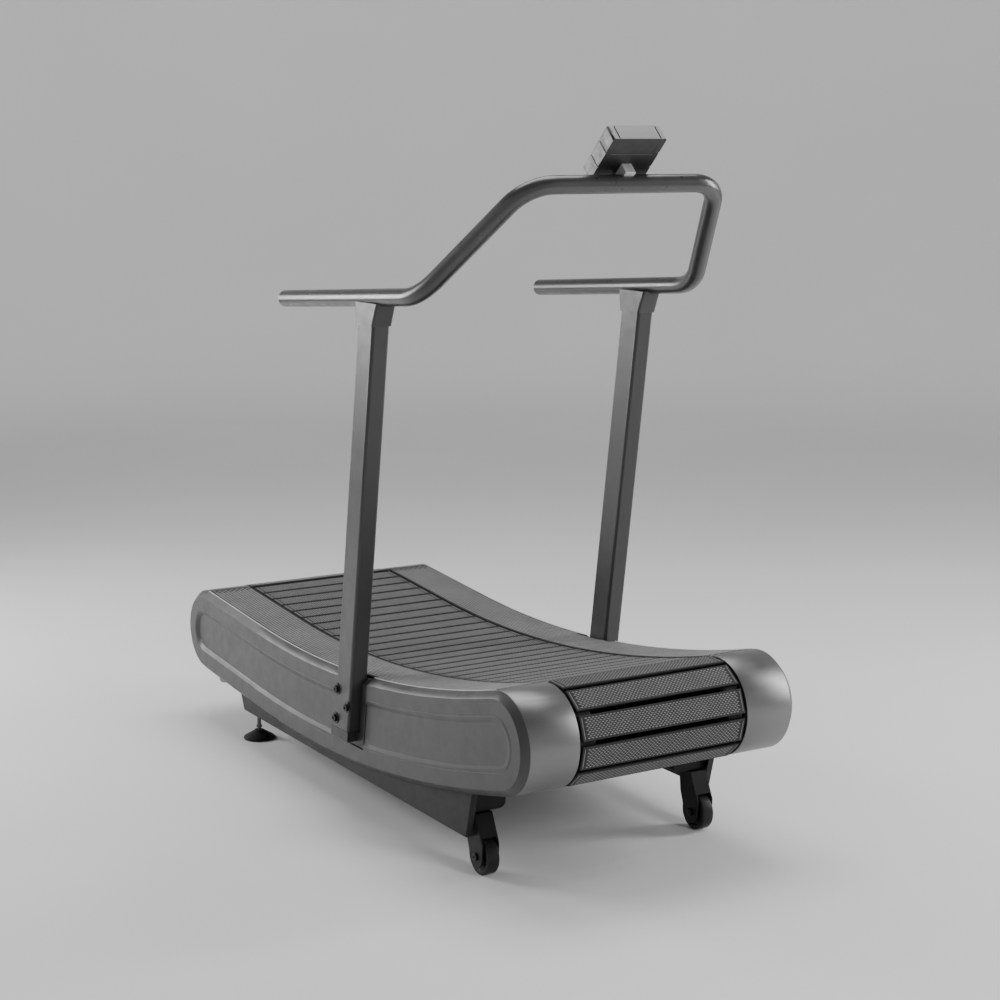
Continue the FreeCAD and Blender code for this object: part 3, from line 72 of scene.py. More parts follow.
class Look:
    """One procedural material, built node by node round a Principled shader."""

    def __init__(self, name):
        self.material = bpy.data.materials.new(name)
        self.material.use_nodes = True
        self.tree = self.material.node_tree
        self.shader = self.tree.nodes["Principled BSDF"]
        self.place = self.add("ShaderNodeTexCoord").outputs["Object"]
        self.geometry = self.add("ShaderNodeNewGeometry")
        self.height = None

    def add(self, kind, **settings):
        node = self.tree.nodes.new(kind)
        for key, value in settings.items():
            setattr(node, key, value)
        return node

    def feed(self, socket, value):
        """Link or set one input."""
        if isinstance(value, bpy.types.NodeSocket):
            self.tree.links.new(value, socket)
        else:
            socket.default_value = value

    def set(self, **values):
        """Set inputs of the Principled shader; an underscore stands for a space."""
        for key, value in values.items():
            self.feed(self.shader.inputs[key.replace("_", " ")], value)

    def stretched(self, scale):
        node = self.add("ShaderNodeMapping")
        node.inputs["Scale"].default_value = scale
        self.feed(node.inputs["Vector"], self.place)
        return node.outputs["Vector"]

    def noise(self, scale, detail=3.0, stretch=None):
        """Soft noise, drawn out along an axis if a stretch is given."""
        node = self.add("ShaderNodeTexNoise")
        node.inputs["Scale"].default_value = scale
        node.inputs["Detail"].default_value = detail
        self.feed(node.inputs["Vector"], self.stretched(stretch) if stretch else self.place)
        return node.outputs[0]

    def cells(self, scale):
        """Distance to the nearest point of a scattered set: leather, pebble or moulded grain."""
        node = self.add("ShaderNodeTexVoronoi")
        node.inputs["Scale"].default_value = scale
        self.feed(node.inputs["Vector"], self.place)
        return node.outputs["Distance"]

    def weave(self, scale, direction):
        """Fine parallel waves along one axis."""
        node = self.add("ShaderNodeTexWave", bands_direction=direction)
        node.inputs["Scale"].default_value = scale
        node.inputs["Distortion"].default_value = 0.6
        self.feed(node.inputs["Vector"], self.place)
        return node.outputs["Fac"]

    def span(self, value, low, high, to_low=0.0, to_high=1.0):
        """Map a range onto another and clamp it."""
        node = self.add("ShaderNodeMapRange")
        ranges = {"From Min": low, "From Max": high, "To Min": to_low, "To Max": to_high}
        for name, number in ranges.items():
            node.inputs[name].default_value = number
        self.feed(node.inputs["Value"], value)
        return node.outputs["Result"]

    def calc(self, operation, first, second=0.0):
        node = self.add("ShaderNodeMath", operation=operation)
        self.feed(node.inputs[0], first)
        self.feed(node.inputs[1], second)
        return node.outputs[0]

    def blend(self, factor, first, second):
        """Mix two colours."""
        node = self.add("ShaderNodeMix", data_type="RGBA")
        mix_factor, colour_a, colour_b = node.inputs[0], node.inputs[6], node.inputs[7]
        self.feed(mix_factor, factor)
        self.feed(colour_a, first)
        self.feed(colour_b, second)
        colour = node.outputs[2]
        return colour

    def edges(self, radius, low=0.985, high=0.8):
        """One on convex and concave edges, nought on open surface."""
        bevel = self.add("ShaderNodeBevel", samples=4)
        bevel.inputs["Radius"].default_value = radius
        product = self.add("ShaderNodeVectorMath", operation="DOT_PRODUCT")
        self.feed(product.inputs[0], bevel.outputs["Normal"])
        self.feed(product.inputs[1], self.geometry.outputs["Normal"])
        return self.span(product.outputs["Value"], low, high)

    def facing_up(self):
        """One where the surface lies level and faces up."""
        split = self.add("ShaderNodeSeparateXYZ")
        self.feed(split.inputs[0], self.geometry.outputs["Normal"])
        return self.span(split.outputs["Z"], 0.2, 1.0)

    def facing(self, direction):
        """One where the surface faces along a direction."""
        product = self.add("ShaderNodeVectorMath", operation="DOT_PRODUCT")
        self.feed(product.inputs[0], self.geometry.outputs["True Normal"])
        self.feed(product.inputs[1], tuple(direction))
        return self.span(product.outputs["Value"], 0.8, 0.9)

    def bump(self, height, depth, strength=1.0):
        """Add a bump on top of those already there; depth is in metres."""
        node = self.add("ShaderNodeBump")
        node.inputs["Strength"].default_value = strength
        node.inputs["Distance"].default_value = depth
        self.feed(node.inputs["Height"], height)
        if self.height:
            self.feed(node.inputs["Normal"], self.height)
        self.height = node.outputs["Normal"]
        self.set(Normal=self.height)

    def hide_from_below(self):
        """Let a view from behind the surface see through it."""
        sides = self.calc("MULTIPLY", self.geometry.outputs["Backfacing"],
                          self.add("ShaderNodeLightPath").outputs["Is Camera Ray"])
        clear = self.add("ShaderNodeBsdfTransparent")
        mix = self.add("ShaderNodeMixShader")
        self.feed(mix.inputs[0], sides)
        self.tree.links.new(self.shader.outputs[0], mix.inputs[1])
        self.tree.links.new(clear.outputs[0], mix.inputs[2])
        self.tree.links.new(mix.outputs[0], self.tree.nodes["Material Output"].inputs["Surface"])


def painted(name, base, rough=0.42, grain=900, depth=0.00004, wear=0.5, coat=0.12, metallic=0.0,
            warmth=0.012, dusty=0.16, gloss=0.5, wavy=0.25):
    """Satin powder coat: soft tone drift, orange peel, lighter rubbed edges and a little dust."""
    look = Look(name)
    drift = look.span(look.noise(3.2, 4), 0.35, 0.65)
    body = look.blend(drift, tone(base * 0.9, warmth), tone(base * 1.1, warmth))
    speck = look.span(look.noise(2600, 2), 0.52, 0.7, 0.0, 0.22)
    body = look.blend(speck, body, tone(base * 1.6, warmth))
    settled = look.span(look.noise(14, 6), 0.45, 0.8, 0.0, dusty)
    body = look.blend(look.calc("MULTIPLY", look.facing_up(), settled), body, PAINT_DUST)
    patchy = look.span(look.noise(60, 5), 0.3, 0.7, 0.35, 1.0)
    rubbed = look.calc("MULTIPLY", look.calc("MULTIPLY", look.edges(0.0016), patchy), wear)
    body = look.blend(rubbed, body, tone(min(base * 2.6 + 0.06, 0.6), warmth))
    look.set(Base_Color=body, Metallic=metallic, Coat_Weight=coat, Coat_Roughness=0.28,
             Specular_IOR_Level=gloss,
             Roughness=look.span(look.noise(38, 5), 0.3, 0.7, rough - 0.05, rough + 0.07))
    look.bump(look.noise(grain, 2), depth)
    look.bump(look.noise(7, 2), 0.0006, wavy)
    return look.material


def brushed(name, base, rough, along, metallic=1.0, streak=0.35, wear=0.4, warmth=0.0,
            anisotropic=0.6, cloudy=0.3, relief=0.000012):
    """Metal with fine streaks drawn out along one axis."""
    look = Look(name)
    streak_length, streak_width = 6, 900
    stretch = tuple(streak_length if axis == along else streak_width for axis in "XYZ")
    streaks = look.noise(1.0, 4, stretch)
    cloud = look.noise(9, 5)
    body = look.blend(look.span(streaks, 0.3, 0.7), tone(base * (1 - streak * 0.4), warmth),
                      tone(min(base * (1 + streak * 0.3), 0.95), warmth))
    body = look.blend(look.span(cloud, 0.4, 0.75, 0.0, cloudy), body, tone(base * 0.72, warmth))
    bright = look.calc("MULTIPLY", look.edges(0.0012), wear)
    body = look.blend(bright, body, tone(min(base * 1.5 + 0.05, 0.95), warmth))
    roughness = look.span(streaks, 0.3, 0.7, rough - 0.06, rough + 0.08)
    roughness = look.calc("ADD", roughness, look.span(cloud, 0.4, 0.8, 0.0, cloudy * 0.25))
    look.set(Base_Color=body, Metallic=metallic, Roughness=roughness, Anisotropic=anisotropic)
    look.bump(streaks, relief)
    return look.material


def moulded(name, base, rough=0.5, grain=1400, depth=0.00005, wear=0.35, sheen=0.0, pale=0.12,
            warmth=0.01, gloss=0.5, top=None):
    """Moulded plastic or rubber: pebbled grain, faint flow marks, dust and paler edges.

    If top is given, it is a painted highlight: the faces at the top end of the console, which face the overhead
    light, take that lighter tone."""
    look = Look(name)
    flow = look.span(look.noise(11, 5), 0.35, 0.7)
    body = look.blend(flow, tone(base * 0.86, warmth), tone(base * 1.14, warmth))
    settled = look.span(look.noise(30, 6), 0.4, 0.8, 0.0, pale)
    body = look.blend(look.calc("MULTIPLY", look.facing_up(), settled), body, PLASTIC_DUST)
    rubbed = look.calc("MULTIPLY", look.edges(0.0011), wear)
    body = look.blend(rubbed, body, tone(base * 2.2 + 0.05, warmth))
    # Painted highlight: faces at the top end of the console take the lighter top tone.
    if top:
        body = look.blend(look.facing(FACE_UP), body, tone(top, warmth))
    look.set(Base_Color=body, Sheen_Weight=sheen, Sheen_Roughness=0.5, Specular_IOR_Level=gloss,
             Roughness=look.span(look.noise(70, 4), 0.3, 0.7, rough - 0.06, rough + 0.08))
    look.bump(look.cells(grain), depth)
    look.bump(look.noise(grain * 0.4, 3), depth, 0.5)
    return look.material


def treaded(name, base, rough=0.72, gloss=0.4):
    """Grippy rubber: coarse grain, fine cross weave, chalky high spots and darker hollows."""
    look = Look(name)
    grain = look.noise(1500, 4)
    body = look.blend(look.span(grain, 0.3, 0.7), tone(base * 0.8, RUBBER_WARMTH),
                      tone(base * 1.15, RUBBER_WARMTH))
    scuff = look.span(look.noise(26, 6, (0.4, 1.0, 1.0)), 0.48, 0.8, 0.0, 0.3)
    body = look.blend(scuff, body, tone(base * 1.7, SCUFF_WARMTH))
    crest = look.calc("MULTIPLY", look.edges(0.0007), 0.45)
    body = look.blend(crest, body, tone(base * 2.0 + 0.03, SCUFF_WARMTH))
    look.set(Base_Color=body, Sheen_Weight=0.1 * gloss, Sheen_Roughness=0.6,
             Specular_IOR_Level=gloss,
             Roughness=look.span(look.noise(120, 4), 0.3, 0.7, rough - 0.08, rough + 0.1))
    look.bump(grain, 0.00007)
    look.bump(look.weave(420, "X"), 0.00004, 0.6)
    look.bump(look.weave(420, "Y"), 0.00004, 0.6)
    return look.material


def clear_lens(name):
    """Smoked acrylic with a faint hard-coat ripple and fine dust."""
    look = Look(name)
    dust = look.span(look.noise(420, 6), 0.55, 0.85, 0.0, 0.25)
    look.set(Base_Color=look.blend(dust, (0.75, 0.79, 0.78, 1), (0.9, 0.9, 0.88, 1)),
             Transmission_Weight=0.94, IOR=1.49, Coat_Weight=0.6, Coat_Roughness=0.04,
             Roughness=look.span(look.noise(35, 4), 0.3, 0.75, 0.03, 0.09))
    look.bump(look.noise(18, 2), 0.00003, 0.4)
    return look.material


def solder_mask(name):
    """Green circuit board with a tracery of tracks under the mask."""
    look = Look(name)
    tracks = look.add("ShaderNodeTexBrick", offset=0.5)
    tracks.inputs["Scale"].default_value = 130
    look.feed(tracks.inputs["Vector"], look.place)
    for socket, colour in (("Color1", (0.015, 0.10, 0.05, 1)), ("Color2", (0.02, 0.13, 0.06, 1)),
                           ("Mortar", (0.06, 0.24, 0.12, 1))):
        tracks.inputs[socket].default_value = colour
    speck = look.span(look.noise(900, 3), 0.6, 0.75, 0.0, 0.35)
    look.set(Base_Color=look.blend(speck, tracks.outputs["Color"], (0.35, 0.33, 0.25, 1)),
             Roughness=look.span(look.noise(200, 3), 0.3, 0.7, 0.28, 0.42), Coat_Weight=0.5)
    look.bump(tracks.outputs["Fac"], 0.00005)
    return look.material


def liquid_crystal(name, base):
    """Pale display glass, or the dark segments on it."""
    look = Look(name)
    cloud = look.span(look.noise(60, 4), 0.3, 0.7)
    look.set(Base_Color=look.blend(cloud, (base * 0.86, base * 0.95, base * 0.8, 1),
                                   (base * 0.95, base * 1.05, base * 0.9, 1)),
             Roughness=look.span(look.noise(150, 3), 0.3, 0.7, 0.2, 0.32))
    look.bump(look.noise(1200, 2), 0.00001)
    return look.material


LOOKS = {
    "casing_paint": painted("casing_paint", 0.037, rough=0.43, gloss=0.4, wavy=0.1),
    "post_paint": painted("post_paint", 0.033, rough=0.4, gloss=0.4, wavy=0.1),
    # The skirt and bracket looks are darker copies of the post paint: painted shade under the casing and at the
    # post's foot.
    "skirt_painted_shade": painted("skirt_painted_shade", 0.02, rough=0.5, wear=0.2, dusty=0.03, gloss=0.25,
                           coat=0.0),
    "bracket_painted_shade": painted("bracket_painted_shade", 0.024, rough=0.45, wear=0.3, dusty=0.05, gloss=0.3),
    "frame_black": painted("frame_black", 0.006, rough=0.4, wear=0.2, dusty=0.02, gloss=0.2,
                           coat=0.02),
    "cap_metal": brushed("cap_metal", 0.205, 0.41, "Y", metallic=0.95, streak=0.1, cloudy=0.0,
                         anisotropic=0.2, relief=0.000003),
    "rail_polymer": moulded("rail_polymer", 0.022, 0.5, 1100, 0.00006, wear=0.3, pale=0.03,
                            gloss=0.25),
    "rail_stud": moulded("rail_stud", 0.17, 0.46, 1300, 0.00004, wear=0.3),
    # The pale bead's tone is a painted highlight along the foot rail's outer edge.
    "rail_highlight_bead": moulded("rail_highlight_bead", 0.45, 0.36, 1500, 0.00003, wear=0.2),
    "wheel_polymer": moulded("wheel_polymer", 0.008, 0.42, 2400, 0.00003, wear=0.2, pale=0.03,
                             gloss=0.3),
    "foot_rubber": moulded("foot_rubber", 0.008, 0.7, 1500, 0.00007, sheen=0.04, pale=0.02,
                           gloss=0.2),
    "stem_steel": brushed("stem_steel", 0.12, 0.34, "Z"),
    "black_fastener": brushed("black_fastener", 0.018, 0.36, "Y", metallic=0.5, anisotropic=0.2),
    "bar_metal": painted("bar_metal", 0.08, rough=0.31, depth=0.000005, metallic=0.75, coat=0.15,
                         wear=0.1, dusty=0.0, wavy=0.0),
    "black_plastic": moulded("black_plastic", 0.012, 0.46),
    # The slat plates are nearly black as painted shade, so the gaps between the slats read black.
    "slat_metal": brushed("slat_metal", 0.014, 0.4, "Y", metallic=0.6),
    "tread_rubber": treaded("tread_rubber", 0.026, gloss=0.2),
    "tread_crest": treaded("tread_crest", 0.155),
    "belt_rubber": moulded("belt_rubber", 0.01, 0.7, 800, 0.0001, gloss=0.3, pale=0.05),
    "bearing_steel": brushed("bearing_steel", 0.52, 0.24, "Y", warmth=0.01),
    # The pulleys are dark as painted shade where they show through the slat gaps.
    "pulley_metal": brushed("pulley_metal", 0.05, 0.5, "Y", metallic=0.7),
    "cable_rubber": moulded("cable_rubber", 0.016, 0.55, 2000, 0.00003),
    # The top tone on both console looks is a painted highlight on the console's top end.
    "console_plastic": moulded("console_plastic", 0.09, 0.42, 1900, 0.00004, wear=0.3, top=0.27),
    "console_black": moulded("console_black", 0.008, 0.4, 1900, 0.00003, wear=0.25, pale=0.03,
                             top=0.26),
    "lens_glass": clear_lens("lens_glass"),
    "board": solder_mask("board"),
    "cell_metal": brushed("cell_metal", 0.45, 0.3, "Z", warmth=0.16, metallic=0.7),
    "bracket_metal": brushed("bracket_metal", 0.72, 0.36, "Y", metallic=0.7, streak=0.15),
    "button_rubber": moulded("button_rubber", 0.04, 0.6, 2400, 0.00003, sheen=0.2),
    "display_glass": liquid_crystal("display_glass", 0.34),
    "display_segments": liquid_crystal("display_segments", 0.02),
}
# Nodes that are darker than the others of the same material: the skirts and post brackets as painted shade under
# the casing and at the post's foot, the console back and battery cover as black plastic.
OWN_LOOKS = {"skirt_l": "skirt_painted_shade", "skirt_r": "skirt_painted_shade", "post_bracket_l": "bracket_painted_shade",
             "post_bracket_r": "bracket_painted_shade", "console_back": "console_black",
             "battery_cover": "console_black"}
SLOT_OF = {part["node"]: part["material_slot"] for part in frame["record"]["subparts"]}


# ---------------------------------------------------------------- CAD nodes: finish and soft edges

WELD_REACH = 0.01 * MM
FLAT_ANGLE = math.radians(0.2)
SHARP_ANGLE = math.radians(32)
# Bevel widths in millimetres, by the start of the node's name.
EDGE_WIDTHS = {
    "side_casing": 1.2, "skirt": 0.8, "post_l": 0.8, "post_r": 0.8, "post_collar": 1.2,
    "post_bracket": 0.9, "base_rail": 0.8, "nose_cap": 0.7, "tail_cap": 0.7, "foot_rail": 0.8,
    "wheel_fork": 0.9, "transport_wheel": 1.0, "console": 0.6, "battery_cover": 0.3,
    "belt_slats": 0.4, "post_bolts": 0.5, "lift_handle": 0.6, "foot_locknuts": 0.6,
    "wheel_bolts": 0.6, "handlebar_plugs": 0.6, "tension_bolts": 0.5, "bearing_housings": 0.8,
    "cross_members": 0.8, "side_frame": 0.5, "magnet_ring": 0.4, "speed_sensor": 0.6,
    "foot_pad": 0.8, "button": 0.3, "display_lens": 0.25,
}


def soften(item, width):
    """Join the split corners, clear the flat triangulation and round the sharp edges."""
    weld = item.modifiers.new("Join", "WELD")
    weld.merge_threshold = WELD_REACH
    flat = item.modifiers.new("Flat", "DECIMATE")
    flat.decimate_type = "DISSOLVE"
    flat.angle_limit = FLAT_ANGLE
    bevel = item.modifiers.new("Edges", "BEVEL")
    bevel.width = width
    bevel.segments = 2
    bevel.limit_method = "ANGLE"
    bevel.angle_limit = SHARP_ANGLE
    bevel.harden_normals = True
    bevel.miter_outer = "MITER_ARC"


def finish_nodes():
    """Give every CAD node its finish and, where it shows, soft edges."""
    for name, item in frame["nodes"].items():
        item.data.materials.clear()
        item.data.materials.append(LOOKS[OWN_LOOKS.get(name, SLOT_OF[name])])
        for prefix, width in EDGE_WIDTHS.items():
            if name.startswith(prefix):
                soften(item, width * MM)
                break


# ---------------------------------------------------------------- relief on the walking surfaces

STUD_CORNERS = ((-1, -1), (1, -1), (1, 1), (-1, 1))
PLATE_CORNERS = ((-1, -1), (-1, 1), (1, 1), (1, -1))


def plate_ring(middle, first, second, half_first, half_second):
    """The corners of a rectangle round its middle, from two directions and their half lengths."""
    return [middle + first * (u * half_first) + second * (v * half_second)
            for u, v in PLATE_CORNERS]


class Relief:
    """Many small raised cells collected into one mesh."""

    def __init__(self):
        self.points = []
        self.faces = []

    def frustum(self, base, top):
        """A cell with sloping sides and a flat top, from two rings of the same length."""
        first, count = len(self.points), len(base)
        self.points += base + top
        for i in range(count):
            j = (i + 1) % count
            self.faces.append((first + i, first + j, first + count + j, first + count + i))
        self.faces.append(tuple(range(first + count, first + 2 * count)))

    def peak(self, base, tip):
        """A low pyramid."""
        first, count = len(self.points), len(base)
        self.points += base + [tip]
        for i in range(count):
            self.faces.append((first + i, first + (i + 1) % count, first + count))

    def sweep(self, rings):
        """A rounded strip through rings of points, closed at both ends."""
        first, count = len(self.points), len(rings[0])
        self.points += [point for ring in rings for point in ring]
        for step in range(len(rings) - 1):
            here, there = first + step * count, first + (step + 1) * count
            for i in range(count):
                j = (i + 1) % count
                self.faces.append((here + i, here + j, there + j, there + i))
        last = first + (len(rings) - 1) * count
        self.faces.append(tuple(range(first, first + count))[::-1])
        self.faces.append(tuple(range(last, last + count)))

    def make(self, name, look, body, slot):
        """Turn the cells into one object that rides on a body, with the given look; the slot argument is not used.
        """
        mesh = bpy.data.meshes.new(name)
        mesh.from_pydata(self.points, [], self.faces)
        mesh.update()
        item = bpy.data.objects.new(name, mesh)
        bpy.context.scene.collection.objects.link(item)
        mesh.materials.append(LOOKS[look])
        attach(item, body)


def surface_below(node):
    """A function from (x, y) to the point and normal on the top of a node."""
    mesh = frame["nodes"][node].data
    tree = BVHTree.FromPolygons([v.co for v in mesh.vertices], [p.vertices for p in mesh.polygons])
    above = 2.0

    def find(x, y):
        point, normal, _, _ = tree.ray_cast(Vector((x, y, above)), -UP)
        return point, normal
    return find


def make_rail_studs(side, letter):
    """Square studs over a foot rail, clear of its borders and of the post bracket."""
    rail = "foot_rail_" + letter
    low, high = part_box(rail)
    bracket_low, bracket_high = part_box("post_bracket_" + letter)
    near, far = sorted((abs(low.y), abs(high.y)))
    pitch, pitch_across, half, slope = 7.0 * MM, 8.4 * MM, 2.6 * MM, 0.35 * MM
    sunk, raised, border = 0.15 * MM, 0.38 * MM, 5 * MM
    post_notch, thinned_columns = 12.5 * MM, 3
    find = surface_below(rail)
    relief = Relief()
    columns = int((high.x - low.x - 4 * border) / pitch)
    rows = int((far - near - 2 * border) / pitch_across)
    for column in range(columns):
        x = low.x + 2 * border + pitch * (column + 0.5)
        beside_post = bracket_low.x - border < x < bracket_high.x + border
        at_end = min(column, columns - 1 - column) < thinned_columns
        point, normal = find(x, side * (near + 2 * border))
        along = ACROSS.cross(normal).normalized()
        for row in range(rows):
            y = near + border + pitch_across * (row + 0.5)
            if beside_post and y > far - post_notch:
                continue
            if at_end and (row + column) % 2:
                continue
            centre = Vector((point.x, side * y, point.z))
            relief.frustum(*([centre + along * (reach * u) + ACROSS * (reach * v) + normal * height
                              for u, v in STUD_CORNERS]
                             for reach, height in ((half, -sunk), (half - slope, raised))))
    relief.make("rail_studs_" + letter, "rail_stud", "frame", "rail_polymer")


def make_rail_highlight_bead(side, letter):
    """A fine rounded bead along a foot rail's outer edge, in front of and behind the post, whose pale tone is a
    painted highlight along that edge.
    """
    rail = "foot_rail_" + letter
    low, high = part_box(rail)
    bracket_low, bracket_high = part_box("post_bracket_" + letter)
    radius, steps, clear = 1.4 * MM, 90, 9 * MM
    turns = [math.radians(angle) for angle in range(-30, 211, 30)]
    y = side * (max(abs(low.y), abs(high.y)) - radius)
    find = surface_below(rail)
    bead = Relief()
    for start, end in ((low.x + MM, bracket_low.x - clear), (bracket_high.x + clear, high.x - MM)):
        rings = []
        for step in range(steps + 1):
            point, normal = find(start + (end - start) * step / steps, y)
            rings.append([point + ACROSS * (radius * math.cos(turn))
                          + normal * (radius * math.sin(turn)) for turn in turns])
        bead.sweep(rings)
    bead.make("rail_highlight_bead_" + letter, "rail_highlight_bead", "frame", "rail_polymer")


def solids_of(node):
    """The polygons of each separate solid of a node."""
    mesh = frame["nodes"][node].data
    spots = [tuple(round(value, 6) for value in vertex.co) for vertex in mesh.vertices]
    parent = {spot: spot for spot in spots}

    def root(spot):
        while parent[spot] != spot:
            spot = parent[spot]
        return spot

    for polygon in mesh.polygons:
        first = root(spots[polygon.vertices[0]])
        for index in polygon.vertices[1:]:
            parent[root(spots[index])] = first
    groups = {}
    for polygon in mesh.polygons:
        groups.setdefault(root(spots[polygon.vertices[0]]), []).append(polygon)
    return list(groups.values())


def points_of(node, polygons):
    """The distinct corners of some polygons of a node."""
    vertices = frame["nodes"][node].data.vertices
    return [vertices[index].co for index in sorted({i for p in polygons for i in p.vertices})]


def tread_frames():
    """Middle, outward direction and points of each tread, with the nearest slat as its inside."""
    slats = [points_of("belt_slats", solid) for solid in solids_of("belt_slats")]
    slat_middles = [sum(points, Vector()) / len(points) for points in slats]
    found = []
    for solid in solids_of("slat_treads"):
        points = points_of("slat_treads", solid)
        middle = sum(points, Vector()) / len(points)
        inside = min(slat_middles, key=lambda slat: (slat - middle).length)
        outward = max(solid, key=lambda polygon: polygon.area).normal.copy()
        outward.y = 0
        outward.normalize()
        if outward.dot(inside - middle) > 0:
            outward.negate()
        found.append((middle, outward, points))
    return found


def make_tread_relief():
    """Staggered low pyramids on every slat, between two raised strips at its ends."""
    groups = {"deck": Relief(), "nose": Relief(), "tail": Relief(), "return": Relief()}
    axle_front = Vector(JOINTS["front_axle_spin"]["pos_m"])
    axle_rear = Vector(JOINTS["rear_axle_spin"]["pos_m"])
    face_depth = 0.1 * MM
    for middle, outward, points in tread_frames():
        along = ACROSS.cross(outward)
        offsets = [point - middle for point in points]
        face = max(offset.dot(outward) for offset in offsets)
        on_face = [offset for offset in offsets if offset.dot(outward) > face - face_depth]
        half_x = max(offset.dot(along) for offset in on_face)
        half_y = max(offset.y for offset in on_face)
        if middle.x > axle_front.x:
            relief = groups["nose"]
        elif middle.x < axle_rear.x:
            relief = groups["tail"]
        else:
            relief = groups["deck" if outward.z > 0 else "return"]
        add_knurl(relief, middle + outward * face, along, outward, half_x, half_y)
        add_end_strips(relief, middle + outward * face, along, outward, half_x, half_y)
    for name, relief in groups.items():
        relief.make("tread_relief_" + name, "tread_crest", "frame", "tread_rubber")


def add_knurl(relief, top, along, outward, half_x, half_y):
    """The pyramids of one slat, every other row shifted by half a pitch."""
    half_long, half_short, height, sunk = 4.3 * MM, 2.16 * MM, 0.65 * MM, 0.1 * MM
    pitch_y, pitch_x, border_y, border_x = 9.0 * MM, 4.2 * MM, 9 * MM, 3.0 * MM
    rows = int(2 * (half_x - border_x) / pitch_x)
    columns = int(2 * (half_y - border_y) / pitch_y)
    for row in range(rows):
        x = (row - (rows - 1) / 2) * pitch_x
        shift = 0.25 if row % 2 else -0.25
        for column in range(columns):
            y = (column - (columns - 1) / 2 + shift) * pitch_y
            middle = top + along * x + ACROSS * y
            foot = middle - outward * sunk
            relief.peak([foot - along * half_short, foot - ACROSS * half_long,
                         foot + along * half_short, foot + ACROSS * half_long],
                        middle + outward * height)


def add_end_strips(relief, top, along, outward, half_x, half_y):
    """The raised strips at both ends of one slat."""
    inset, half_width, height, sunk = 4.5 * MM, 1.0 * MM, 0.5 * MM, 0.1 * MM
    reach, slope = half_x - 3.5 * MM, 0.4 * MM
    for end in (1, -1):
        middle = top + ACROSS * (end * (half_y - inset))
        relief.frustum(
            plate_ring(middle - outward * sunk, along, ACROSS, reach, half_width),
            plate_ring(middle + outward * height, along, ACROSS, reach - slope, half_width - slope))


# ---------------------------------------------------------------- console details

def centre_of(node):
    low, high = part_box(node)
    return (low + high) / 2


def slab(relief, middle, out, size, slope=0.05 * MM):
    """A thin plate with a bevelled front, lying on a surface of the console that faces out."""
    half_up, half_across, thick = size
    relief.frustum(plate_ring(middle, FACE_UP, ACROSS, half_up, half_across),
                   plate_ring(middle + out * thick, FACE_UP, ACROSS,
                              half_up - slope, half_across - slope))


# Bars of a seven-segment digit: row and column in half digits, and whether it stands upright.
DIGIT_BARS = [(1, 0, False), (-1, 0, False), (0, 0, False), (0.5, -1, True), (0.5, 1, True),
              (-0.5, -1, True), (-0.5, 1, True)]
MARK_THICK = 0.08 * MM


def add_digit(marks, middle, out, scale):
    """One seven-segment digit."""
    high, wide, stroke = 8.0 * MM * scale, 4.2 * MM * scale, 0.9 * MM
    end_gap, half_stroke = stroke * 0.7, stroke * 0.5 * scale + 0.2 * MM
    for row, column, upright in DIGIT_BARS:
        place = middle + FACE_UP * (row * high) + ACROSS * (column * wide)
        size = (high / 2 - end_gap, half_stroke) if upright else (half_stroke, wide - end_gap)
        slab(marks, place, out, (*size, MARK_THICK))


def make_display():
    """Display glass and its dark segments, in the gap between the module and the lens."""
    out = -FACE_IN
    lens = centre_of("display_lens")
    glass_depth, mark_depth = 1.46 * MM, 1.33 * MM
    glass = Relief()
    slab(glass, lens - out * glass_depth, out, (26 * MM, 45 * MM, 0.12 * MM), 0.15 * MM)
    glass.make("display_glass", "display_glass", "frame", "board")
    marks = Relief()
    seat = lens - out * mark_depth
    for height, count, scale, pitch in ((13.5 * MM, 4, 1.0, 19.14 * MM),
                                        (-10.5 * MM, 6, 0.62, 9.8208 * MM)):
        for index in range(count):
            shift = (index - (count - 1) / 2) * pitch
            add_digit(marks, seat + FACE_UP * height + ACROSS * shift, out, scale)
    slab(marks, seat + FACE_UP * 1.2 * MM, out, (0.25 * MM, 42 * MM, MARK_THICK))
    marks.make("display_segments", "display_segments", "frame", "board")


# ---------------------------------------------------------------- stage

def lathe(name, profile, steps):
    """A surface turned round the Z axis from (radius, height) pairs."""
    points, faces = [], []
    for step in range(steps):
        turn = 2 * math.pi * step / steps
        points += [(r * math.cos(turn), r * math.sin(turn), z) for r, z in profile]
    count = len(profile)
    for step in range(steps):
        here, there = step * count, (step + 1) % steps * count
        faces += [(here + i, here + i + 1, there + i + 1, there + i) for i in range(count - 1)]
    mesh = bpy.data.meshes.new(name)
    mesh.from_pydata(points, [], faces)
    mesh.shade_smooth()
    item = bpy.data.objects.new(name, mesh)
    bpy.context.scene.collection.objects.link(item)
    return item


def make_floor():
    """A pale floor that sweeps up into a wall all the way round."""
    flat, sweep, top, steps, turns = 8.0, 2.5, 6.0, 12, 96
    drop = 0.3 * MM
    profile = [(0.001, 0), (2, 0), (5, 0), (flat, 0)]
    for step in range(1, steps + 1):
        turn = math.radians(90 * step / steps)
        profile.append((flat + sweep * math.sin(turn), sweep * (1 - math.cos(turn))))
    profile.append((flat + sweep, top))
    floor = lathe("floor", [(r, z - drop) for r, z in profile], turns)
    look = Look("floor_paint")
    cloud = look.span(look.noise(0.9, 4), 0.3, 0.7)
    reach = look.add("ShaderNodeVectorMath", operation="LENGTH")
    look.feed(reach.inputs[0], look.place)
    glow_start, glow_end, glow = 3.5, 9.0, 0.2
    look.set(Base_Color=look.blend(cloud, tone(0.74, 0.006), tone(0.78, 0.006)), Roughness=0.6,
             Emission_Color=tone(1.0),
             Emission_Strength=look.span(reach.outputs["Value"], glow_start, glow_end, 0.0, glow))
    look.bump(look.noise(180, 3), 0.00008, 0.5)
    look.hide_from_below()
    floor.data.materials.append(look.material)


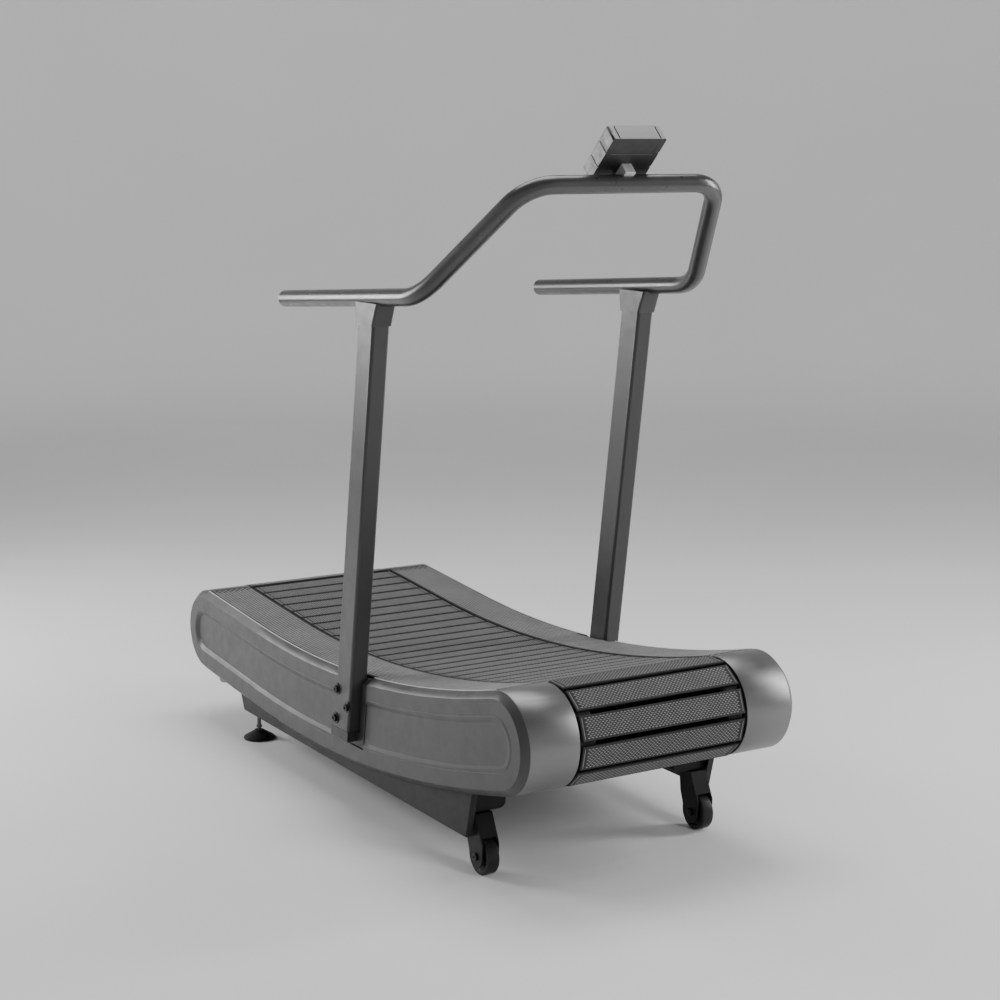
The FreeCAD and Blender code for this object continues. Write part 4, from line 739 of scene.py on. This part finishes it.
def look_along(item, direction):
    """Turn a light or a camera so that it looks along a direction."""
    item.rotation_mode = "QUATERNION"
    item.rotation_quaternion = direction.to_track_quat("-Z", "Y")


def add_softbox(name, place, aim, size, power, mirrored=True):
    """A rectangular light that points at a spot; glossy surfaces need not mirror it."""
    light = bpy.data.lights.new(name, "AREA")
    light.shape = "RECTANGLE"
    light.size, light.size_y = size
    light.energy = power
    item = bpy.data.objects.new(name, light)
    item.location = place
    look_along(item, Vector(aim) - Vector(place))
    item.visible_glossy = mirrored
    bpy.context.scene.collection.objects.link(item)


def make_lights():
    """Soft studio light: a wide overhead, a key from the right rear, a rim and a front fill."""
    middle, tail, nose = (0.0, 0.0, 0.6), (-0.5, -0.2, 0.4), (0.8, 0.1, 0.35)
    add_softbox("overhead", (-0.4, 0.3, 3.9), middle, (3.0, 2.2), 105)
    add_softbox("key", (-2.5, -2.1, 1.4), tail, (1.3, 1.2), 78)
    add_softbox("rim", (1.8, 4.0, 2.0), middle, (1.0, 2.4), 130)
    add_softbox("front_fill", (4.6, 0.9, 2.0), nose, (1.0, 1.2), 85, mirrored=False)
    world = bpy.data.worlds.new("studio")
    world.use_nodes = True
    shade = world.node_tree.nodes["Background"]
    shade.inputs["Color"].default_value = (0.93, 0.95, 1.0, 1)
    shade.inputs["Strength"].default_value = 0.2
    bpy.context.scene.world = world


def make_camera():
    """The camera, by its direction from the machine."""
    azimuth, elevation, distance = math.radians(58.87), math.radians(10.08), 4.95
    aim = Vector((0.080, 0.075, 0.717))
    back = Vector((math.sin(azimuth) * math.cos(elevation),
                   -math.cos(azimuth) * math.cos(elevation), math.sin(elevation)))
    data = bpy.data.cameras.new("camera")
    data.sensor_width = 36
    data.lens = 72.77
    item = bpy.data.objects.new("camera", data)
    item.location = aim + back * distance
    look_along(item, -back)
    bpy.context.scene.collection.objects.link(item)
    bpy.context.scene.camera = item


finish_nodes()
for side, letter in SIDES:
    make_rail_studs(side, letter)
    make_rail_highlight_bead(side, letter)
make_tread_relief()
make_display()
make_floor()
make_lights()
make_camera()
